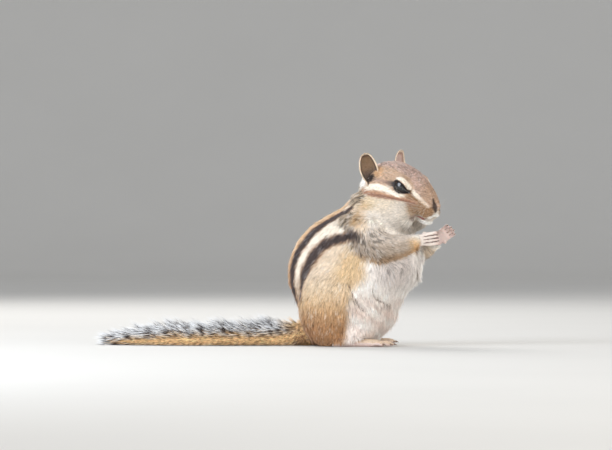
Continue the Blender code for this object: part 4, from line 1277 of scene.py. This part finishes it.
def make_tail():
    """Long hairs along the bone: banded and white-tipped, but plain on the near side and by the rump."""
    rows = tail_bone(400)
    share = 0.07 + 0.925 * draw.random(HAIRS)
    at = (share * (len(rows) - 1)).astype(int)
    centre, radius = rows[at, :3], rows[at, 3]
    along = unit(np.gradient(rows[:, :3], axis=0))[at]
    across = unit(np.cross(along, (0.0, 0.0, 1.0)))
    upward = np.cross(across, along)
    turn = draw.random(HAIRS) * 2 * math.pi
    out = across * np.cos(turn)[:, None] + upward * np.sin(turn)[:, None]
    near_side = 1 - ramp(np.abs(np.degrees(turn) - NEAR_SIDE), 22, 52)
    by_rump = 1 - ramp(share, *BY_RUMP)
    places = centre + out * (radius * 0.9)[:, None]
    lock, _ = clumps_of(places, HAIRS // LOCKS)
    locks = lock.max() + 1
    length = HAIR_LENGTH * (0.62 + 0.38 * np.sin(np.minimum(share / 0.45, 1) * math.pi / 2))
    uneven = draw.uniform(0.84, 1.12, locks)[lock] * draw.uniform(0.85, 1.06, HAIRS)
    length *= uneven * (1 - 0.55 * near_side)
    length *= 1 - 0.62 * by_rump
    at_tip = np.clip((share - 0.78) / 0.22, 0, 1)
    lean = HAIR_LEAN * (1 - 0.72 * at_tip) * (1 - 0.62 * near_side) * (1 - 0.5 * by_rump)
    lean *= draw.uniform(0.8, 1.15, locks)[lock] * draw.uniform(0.85, 1.15, HAIRS)
    pull = draw.normal(0, 1.3, (locks, 3))[lock] + draw.normal(0, 0.5, (HAIRS, 3))
    pull -= along * (pull * along).sum(1, keepdims=True)
    pull *= 1 - 0.75 * near_side[:, None]
    core = np.array(TAIL_CORE) * (1 + draw.normal(0, 0.08, (HAIRS, 1)))
    plain = np.maximum(near_side, by_rump)[:, None]
    band = np.array(TAIL_BAND) * (1 - plain) + core * 0.8 * plain
    tips = np.array(TAIL_TIPS) * (1 - plain) + (core * 1.1) * plain
    rings = np.stack([core * 0.8, core, band, band, tips, tips])
    width = HAIR_WIDTH * draw.uniform(0.8, 1.25, HAIRS)
    mapped = np.stack([share, turn / (2 * math.pi)], 1)
    for node, start, end in zip(TAIL, TAIL_PARTS, TAIL_PARTS[1:]):
        mine = np.flatnonzero((share >= start) & (share < end))
        roots = Roots(places[mine], out[mine], along[mine])
        made = grow(
            f"hair_{node}", roots, length[mine], width[mine], lean[mine], pull[mine], rings[:, mine],
            mapped[mine], HAIR_SHAPE, TAIL_HAIR, floor=0.15,
        )
        slot_of(node)
        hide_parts(node)


# Eyes, lids, nose and mouth

def make_eyes():
    """An eyeball in each socket, with its lids."""
    for side, word in ((-1, "right"), (1, "left")):
        centre = HEAD @ eye_centre(side)
        bpy.ops.object.select_all(action="DESELECT")
        bpy.ops.mesh.primitive_uv_sphere_add(segments=64, ring_count=32, radius=EYE_RADIUS, location=centre)
        eye = bpy.context.object
        finish_piece(eye, f"eyeball_{word}", EYE, "eye", f"eye_{word}")
        make_lids(side, word)


def finish_piece(piece, name, look, slot, *nodes):
    """Puts a piece modelled in millimetres in its place, with its finish and its ride."""
    only(piece)
    bpy.ops.object.transform_apply(location=True, rotation=True, scale=True)
    piece.data.transform(TO_METRES)
    piece.data.materials.clear()
    piece.data.materials.append(look)
    piece.name = piece.data.name = name
    bpy.ops.object.shade_smooth()
    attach(piece, "root")
    if nodes:
        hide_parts(*nodes)


def make_lids(side, word):
    """Both lids as one rolled rim that lies on the eyeball and draws out to a point at the front corner."""
    roll = 0.25
    bpy.ops.object.select_all(action="DESELECT")
    bpy.ops.mesh.primitive_torus_add(
        major_segments=64, minor_segments=12, major_radius=1, minor_radius=roll,
    )
    lids = bpy.context.object
    points = points_of(lids.data)
    turn = np.arctan2(points[:, 1], points[:, 0])
    from_rim = (np.hypot(points[:, 0], points[:, 1]) - 1) / roll
    raised = points[:, 2] / roll
    reach = lid_reach(turn)
    along = LID_OPENING[0] * reach * np.cos(turn)
    up = LID_OPENING[1] * reach * np.sin(turn)
    away = unit(np.stack([along / LID_OPENING[0] ** 2, up / LID_OPENING[1] ** 2], 1))
    along = along + away[:, 0] * from_rim * LID_THICKNESS
    up = up + away[:, 1] * from_rim * LID_THICKNESS
    ahead = along * math.cos(LID_SLANT) - up * math.sin(LID_SLANT) + LID_MIDDLE[0]
    height = along * math.sin(LID_SLANT) + up * math.cos(LID_SLANT) + LID_MIDDLE[2]
    level = EYE_RADIUS + 0.1 + raised * 0.3 + 0.12 * from_rim
    out = np.sqrt(np.maximum(level**2 - ahead**2 - height**2, 0.6))
    corner_ahead, corner_out = LID_CORNER_PLACE
    by_corner = corner_out - 0.5 * (ahead - corner_ahead)
    out = np.where(ahead > LID_LEAVES_EYE, np.maximum(out, by_corner), out)
    place = np.stack([ahead, out * side, height], 1) + np.array(eye_centre(side))
    move_points(lids.data, from_head(place))
    edit(lids, bpy.ops.mesh.normals_make_consistent, inside=False)
    finish_piece(lids, f"lids_{word}", LID_SKIN, "bare_skin")


def make_nose():
    """A small naked pad with two comma-shaped nostrils, painted dark as shade, and a groove down its
    middle.
    """
    bpy.ops.object.select_all(action="DESELECT")
    bpy.ops.mesh.primitive_uv_sphere_add(segments=64, ring_count=40, radius=1)
    nose = bpy.context.object
    points = points_of(nose.data)
    shaped = points * NOSE_SIZE
    shaped[:, 1] *= 1 + 0.22 * points[:, 2]
    for side in (-1, 1):
        comma = [(1.5, side * 0.42, -0.35), (1.35, side * 0.95, -0.15), (0.9, side * 1.5, 0.3)]
        shaped -= unit(shaped) * pressed_line(shaped, comma, 0.5, 0.9)[:, None]
    middle = [(1.9, 0, 0.6), (1.8, 0, -0.6), (1.3, 0, -1.7)]
    shaped -= unit(shaped) * pressed_line(shaped, middle, 0.3, 0.35)[:, None]
    place = shaped + NOSE_PLACE
    flesh = Paint(len(points), NOSE_PAD)
    folded = place * np.where(place[:, 1:2] < 0, (1, -1, 1), 1)
    # painted shade in the pressed nostrils
    flesh.lay(on_line(folded, NOSTRIL_LINE, 0.5), NOSTRIL_SHADE)
    tint(nose.data, flesh.colour)
    move_points(nose.data, from_head(place))
    finish_piece(nose, "nose", NOSE_SKIN, "bare_skin")


def make_lips(tree):
    """The line of the closed mouth, hair-thin but for a little of the lip that shows on each side."""
    line = spread(np.vstack([MOUTH, (MOUTH * (1, -1, 1))[-2::-1]]), LIP_STEPS)
    line[:, 2] -= 0.9 * between(line[:, 0], 12, 15.5, 1.0)
    path = np.array([tree.find_nearest(p)[0] for p in from_head(line)])
    for _ in range(6):
        path[1:-1] = (path[:-2] + 2 * path[1:-1] + path[2:]) / 4
    across = np.abs(np.linspace(-1, 1, LIP_STEPS))
    radius = 0.1 + 0.5 * between(across, 0.36, 0.6, 0.14)
    made = tube("lips", path[None], radius[None], 8, LIP_SKIN)
    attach(made, "root")


# Ears

def ear_outline(t):
    """Half the ear's width at a share of its length: a slim foot and a rounded top."""
    foot = 0.66 + 0.34 * np.sin(np.clip(t, 0, EAR_WIDEST) / EAR_WIDEST * math.pi / 2)
    top = np.sqrt(np.maximum(1 - ((t - EAR_WIDEST) / 0.56) ** 2, 0.03))
    return EAR_WIDTH / 2 * np.where(t < EAR_WIDEST, foot, top)


def squares_of(grid):
    """The faces of a sheet from the grid of its points' numbers."""
    return np.stack([grid[:-1, :-1], grid[:-1, 1:], grid[1:, 1:], grid[1:, :-1]], -1).reshape(-1, 4)


def inside_of_ear(side, edge_near, deep):
    """Skin of the cup, with a dark ring along its edge and painted shade in its funnel."""
    paint = Paint(len(deep), EAR_INSIDE_LIT_AND_SHADED[side])
    paint.lay(between(edge_near, 0.62, 0.9, 0.12), EAR_RING_LIT_AND_SHADED[side])
    paint.lay(deep, EAR_DEEP_SHADE)
    return paint


def make_ear(side):
    """A thin open cup, pale at its edge and painted darkest, as shade, in its funnel."""
    rows, columns = EAR_GRID
    up = unit(np.array(EAR_UP[side]))
    faces = np.array(EAR_FACES[side])
    faces = unit(faces - up * faces.dot(up))
    across = np.cross(up, faces)
    foot = np.array(EAR_BASE[side])
    share, turn = np.meshgrid(np.linspace(0, 1, rows + 1), np.linspace(-1, 1, columns + 1), indexing="ij")
    share = np.sin(share * math.pi / 2)
    height = -EAR_SUNK + (EAR_LENGTH + EAR_SUNK) * share
    t = height / EAR_LENGTH
    angle = (EAR_WRAP[0] + EAR_WRAP[1] * (1 - np.clip(t, 0, 1)) ** 2) * turn
    layers = []
    for wall in (0.0, EAR_WALL):
        half = (ear_outline(t) + 0.2 + wall)[..., None]
        round_part = faces * (-EAR_HOLLOW * np.cos(angle))[..., None] + across * np.sin(angle)[..., None]
        lean = faces * (-EAR_LEAN * height * t)[..., None]
        spot = foot + up * (height + wall * 0.4 * share)[..., None] + round_part * half + lean
        layers.append(from_head(spot.reshape(-1, 3)))
    points = np.concatenate(layers)
    index = np.arange((rows + 1) * (columns + 1)).reshape(rows + 1, columns + 1)
    count = index.size
    inner = squares_of(index)
    rim = np.concatenate([index[:, 0], index[-1, 1:], index[-2::-1, -1], index[0, -2:0:-1]])
    ahead = np.roll(rim, -1)
    edge = np.stack([rim, rim + count, ahead + count, ahead], 1)
    quads = np.concatenate([inner, inner[:, ::-1] + count, edge])
    made = piece_from(f"ear_cup_{side}", points, quads, NO_TRIANGLES, EAR_SKIN)
    edit(made, bpy.ops.mesh.normals_make_consistent, inside=False)
    edge_near = np.maximum(np.abs(turn), ramp(t, 0.62, 1.06)).ravel()
    deep = np.clip(1 - t.ravel() / EAR_WIDEST, 0, 1)
    inside = inside_of_ear(side, edge_near, deep)
    inside.lay(ramp(edge_near, 0.84, 0.95), EAR_RIM)
    outside = Paint(count, EAR_BACK)
    outside.lay(ramp(edge_near, 0.75, 0.98), EAR_RIM)
    tint(made.data, np.concatenate([inside.colour, outside.colour]))
    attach(made, "root")
    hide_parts("ear_" + side)
    ear_hair(side, layers, inner, edge_near, deep, up @ HEAD_TURNED.T)


def ear_hair(side, layers, squares, edge_near, deep, upward):
    """Very short hair over both faces of an ear, longest and palest on its rim."""
    triangles = np.concatenate([squares[:, :3], squares[:, [0, 2, 3]]])
    grown = []
    for points, facing, density in zip(layers, (1, -1), (5.0, 9.0)):
        corners, weights = scattered(points, triangles, density * np.where(deep > 0.98, 0.0, 1.0))
        a, b, c = (points[corners[:, k]] for k in range(3))
        rim, dark = at_roots(edge_near, corners, weights), at_roots(deep, corners, weights)
        paint = inside_of_ear(side, rim, dark) if facing > 0 else Paint(len(corners), EAR_BACK)
        paint.lay(ramp(rim, 0.78, 0.94), EAR_RIM)
        grown.append((
            at_roots(points, corners, weights),
            unit(np.cross(b - a, c - a)) * facing,
            paint.colour * draw.normal(1, 0.08, (len(corners), 1)),
            0.8 + 0.5 * ramp(rim, 0.7, 1.0),
        ))
    places, ups, colours, lengths = (np.concatenate(both) for both in zip(*grown))
    lengths = lengths * draw.uniform(0.8, 1.2, len(places))
    made = fine_hair(f"ear_hair_{side}", places, ups, upward, lengths, 0.2, 14, shaded(colours, 0.8, 0.1))


# Whiskers, paws and claws

def make_whiskers(tree):
    """Long fine hairs from each side of the muzzle, curving back and down, and two over each eye."""
    turned = HEAD.to_3x3()
    run = np.linspace(0, 1, WHISKER_STEPS)[:, None]
    thinning = 1 - 0.8 * np.linspace(0, 1, WHISKER_STEPS)
    paths, radii = [], []

    def add(root, way, sag, radius):
        paths.append(np.array(tree.find_nearest(HEAD @ Vector(root))[0]) + way * run + sag * run**2)
        radii.append(radius * thinning)

    for side in (-1, 1):
        for row in range(4):
            for k in range(5):
                root = (15.4 - 1.3 * k - 0.2 * row, side * (3.6 + 0.5 * k), -7.6 - 1.0 * row + 0.15 * k)
                length = (11 + 1.8 * k - 0.6 * row) * draw.uniform(0.85, 1.1)
                rise = 0.5 - 0.3 * row + draw.uniform(-0.12, 0.12)
                out = Vector((0.5 - 0.3 * k, side * 0.8, rise)).normalized()
                bend = Vector((-0.85, -side * 0.2, -0.15 - 0.05 * row))
                add(root, np.array(turned @ out) * length, np.array(turned @ bend) * length * 0.45, 0.055)
    for x, z in ((1.5, 8.0), (-1.0, 8.4)):
        for side in (-1, 1):
            out = Vector((-0.35, side * 0.35, 1.0)).normalized()
            bend = Vector((-1.0, 0, -0.2))
            add((x, side * 9.0, z), np.array(turned @ out) * 9, np.array(turned @ bend) * 4, 0.05)
    made = tube("whiskers", np.array(paths), np.array(radii), 5, WHISKER)
    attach(made, "root")


def digits(node):
    """For each claw of a paw its root, the way it points and the way it curves; and the paw's own ways,
    along its digits and out of its back."""
    part, side = node.split("_")
    found = []
    if part == "hand":
        wrist, along, stacked, palm = (np.array(row, float) for row in HAND[side])
        along = unit(along)
        across = unit(stacked - along * stacked.dot(along))
        inwards = np.cross(along, across) * palm
        for i, length in enumerate(FINGER_LENGTHS):
            place = i - 1.5
            fan = unit(along + across * FINGER_FAN * place)
            root = wrist + along * (KNUCKLES - 1.3) + across * (FINGER_SPACING * place) - inwards * 0.3
            tip = root + fan * (length * 0.95 + 1.4) + inwards * (FINGER_CURL * length)
            found.append((tip, unit(fan + inwards * 0.55), inwards))
        return found, along, -inwards
    turn = math.radians(FOOT_TURN[side])
    along = np.array((math.cos(turn), math.sin(turn), 0))
    across = np.array((-math.sin(turn), math.cos(turn), 0))
    up = np.array((0, 0, 1.0))
    for i, length in enumerate(TOE_LENGTHS):
        place = i - 2
        fan = unit(along + across * TOE_FAN * place)
        root = np.array((*HEEL[side], 1.6)) + along * (TOE_BASE - 0.7 * abs(place) - 1.2)
        tip = root + across * (place * TOE_SPACING) + fan * (length + 0.6) - up * 0.2
        found.append((tip, fan, -up))
    return found, along, up


def hollows(mesh, points, normals):
    """How deep each point sits in a crease between its neighbours."""
    first, second = edges_of(mesh).T
    run = unit(points[second] - points[first])
    total, count = np.zeros(len(points)), np.zeros(len(points))
    for here, sign in ((first, 1), (second, -1)):
        np.add.at(total, here, sign * (run * normals[here]).sum(1))
        np.add.at(count, here, 1)
    found = total / np.maximum(count, 1)
    for _ in range(2):
        total = np.zeros(len(points))
        np.add.at(total, first, found[second])
        np.add.at(total, second, found[first])
        found = 0.5 * found + 0.5 * total / np.maximum(count, 1)
    return found


def make_paw(node):
    """A paw of soft flesh, pink where it is bare and pale-haired on its back, with its claws."""
    paw = joined(f"{node}_skin", [copy_of_solid(node)])
    apply(paw, "REMESH", mode="VOXEL", voxel_size=PAW_VOXEL)
    apply(paw, "SMOOTH", factor=0.5, iterations=3)
    mesh = paw.data
    points, normals = points_of(mesh), normals_of(mesh)
    claws, along, back = digits(node)
    hairy = ramp(normals @ back, -0.2, 0.5)
    part, side = node.split("_")
    pale = HAND_HAIR if part == "hand" else FOOT_HAIR
    parted = np.zeros(len(points))
    if part == "hand":
        wrist, _, stacked, _ = (np.array(row) for row in HAND[side])
        stacked = unit(stacked - along * (along @ stacked))
        reach, across = (points - wrist) @ along, (points - wrist) @ stacked
        for gap in (-1, 0, 1):
            parted += 1 - ramp(np.abs(across - FINGER_SPACING * gap), *PARTING)
        parted *= ramp(reach, KNUCKLES - 4.2, KNUCKLES - 3.0) * ramp(normals @ back, 0.0, 0.4)
        hairy *= (1 - ramp(reach, KNUCKLES + 1, KNUCKLES + 4)) * (1 - ramp(parted, 0.1, 0.5))
    flesh = Paint(len(points), PINK)
    flesh.lay(ramp(-(normals @ back), 0, 1), PALM)
    flesh.lay(hairy, pale)
    # painted shade in the hollows of the paw and in the partings between the fingers
    flesh.lay(ramp(hollows(mesh, points, normals), 0.05, 0.25) * 0.85, CREASE_SHADE)
    flesh.lay(parted * 0.85, CREASE_SHADE)
    tint(mesh, flesh.colour)
    move_points(mesh, points - normals * (PARTING_DEPTH * parted)[:, None])
    corners, weights = scattered(points, triangles_of(mesh), PAW_DENSITY * hairy)
    places, ups = at_roots(points, corners, weights), unit(at_roots(normals, corners, weights))
    rings = shaded(np.array(pale) * draw.normal(1, 0.06, (len(places), 1)), 0.85, 0.15)
    lengths = draw.uniform(0.6, 1.1, len(places))
    hair = fine_hair(f"{node}_hair", places, ups, along, lengths, 0.15, 13, rings)
    finish_piece(paw, f"{node}_skin", PAW_SKIN, "bare_skin", node)
    share = np.linspace(0, 1, 8)
    paths = [
        tip + way * (CLAW_LENGTH[part] * (share - 0.25))[:, None] + down * (0.5 * share**2)[:, None]
        for tip, way, down in claws
    ]
    radii = np.tile(CLAW_RADIUS[part] * (1.12 - 0.9 * share), (len(paths), 1))
    nails = tube(f"{node}_claws", np.array(paths), radii, 8, CLAW)
    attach(nails, "root")


# The floor, the light and the camera

FLOOR_AHEAD = 3000.0
FLOOR_BEHIND = 2200.0
FLOOR_SIDES = 4000.0
BACKDROP_CURVE = 800.0
BACKDROP_HEIGHT = 3500.0
GLINT_AWAY = 650.0
PICTURE_MIDDLE = (-19.5, 60.5)  # what the middle of the picture shows: along, up
CAMERA_AWAY = 1708.0
LENS = 200.0


def make_stage():
    """A pale floor that curves up into a backdrop."""
    turns = np.linspace(0, math.pi / 2, 24)
    back = FLOOR_BEHIND + BACKDROP_CURVE
    run = np.concatenate([[-FLOOR_AHEAD], FLOOR_BEHIND + BACKDROP_CURVE * np.sin(turns), [back]])
    rise = np.concatenate([[0], BACKDROP_CURVE - BACKDROP_CURVE * np.cos(turns), [BACKDROP_HEIGHT]])
    points = np.array([(x, y, z) for x in (-FLOOR_SIDES, FLOOR_SIDES) for y, z in zip(run, rise)])
    count = len(run)
    index = np.arange(count - 1)
    quads = np.stack([index, index + count, index + count + 1, index + 1], 1)
    pale = plain_look("backdrop", (0.86, 0.85, 0.83), (0.84, 0.83, 0.81), 0.9, 8.0, 0)
    piece_from("floor", points, quads, NO_TRIANGLES, pale)


def make_light(name, place, size, power, colour, target=(0, 0, 45)):
    data = bpy.data.lights.new(name, "AREA")
    data.shape = "DISK"
    data.size = size
    data.energy = power
    data.color = colour
    lamp = bpy.data.objects.new(name, data)
    bpy.context.scene.collection.objects.link(lamp)
    place = TO_METRES @ Vector(place)
    lamp.location = place
    lamp.rotation_euler = (TO_METRES @ Vector(target) - place).to_track_quat("-Z", "Y").to_euler()


def make_lights():
    """A soft key over the face, a cool disc that the near eye mirrors, a low fill and a light behind."""
    on_eye = HEAD_MIDDLE + HEAD_TURNED @ EYE_GLINT
    facing = unit(on_eye - np.array(HEAD @ eye_centre(-1)))
    mirrored = 2 * -facing[1] * facing + np.array((0, 1.0, 0))
    make_light("key", (420, -950, 850), 0.8, 5.0, (1.0, 0.97, 0.92))
    make_light("glint", on_eye + mirrored * GLINT_AWAY, 0.46, 3.5, (0.84, 0.91, 1.0))
    make_light("low fill", (850, -750, 90), 0.9, 5.8, (1.0, 0.98, 0.95))
    make_light("rim", (-300, 700, 700), 0.6, 5, (1.0, 1.0, 1.0))
    world = bpy.data.worlds.new("studio")
    bpy.context.scene.world = world
    world.use_nodes = True
    sky = world.node_tree.nodes["Background"].inputs
    sky["Color"].default_value = (0.92, 0.95, 1.0, 1)
    sky["Strength"].default_value = 0.58
    bpy.context.scene.view_settings.view_transform = "Standard"


def make_camera():
    """A long lens level with the animal, square to its right side."""
    data = bpy.data.cameras.new("camera")
    data.lens = LENS
    data.sensor_width = 36
    data.clip_end = 20
    camera = bpy.data.objects.new("camera", data)
    bpy.context.scene.collection.objects.link(camera)
    along, up = PICTURE_MIDDLE
    camera.location = TO_METRES @ Vector((along, -CAMERA_AWAY, up))
    camera.rotation_euler = (math.pi / 2, 0, 0)
    bpy.context.scene.camera = camera


def make_body():
    """The skin and all that grows from it or lies on it."""
    skin = make_skin()
    make_coat(skin)
    points = points_of(skin.data)
    tint(skin.data, marked(points)[0] * 0.88)
    faces = [polygon.vertices[:] for polygon in skin.data.polygons]
    tree = BVHTree.FromPolygons([v.co for v in skin.data.vertices], faces)
    make_lips(tree)
    make_whiskers(tree)
    finish_piece(skin, "skin", SKIN, "back_fur", *FLESH)


make_body()
make_tail()
make_eyes()
make_nose()
for ear in ("right", "left"):
    make_ear(ear)
for paw in ("hand_right", "hand_left", "foot_right", "foot_left"):
    make_paw(paw)
make_stage()
make_lights()
make_camera()
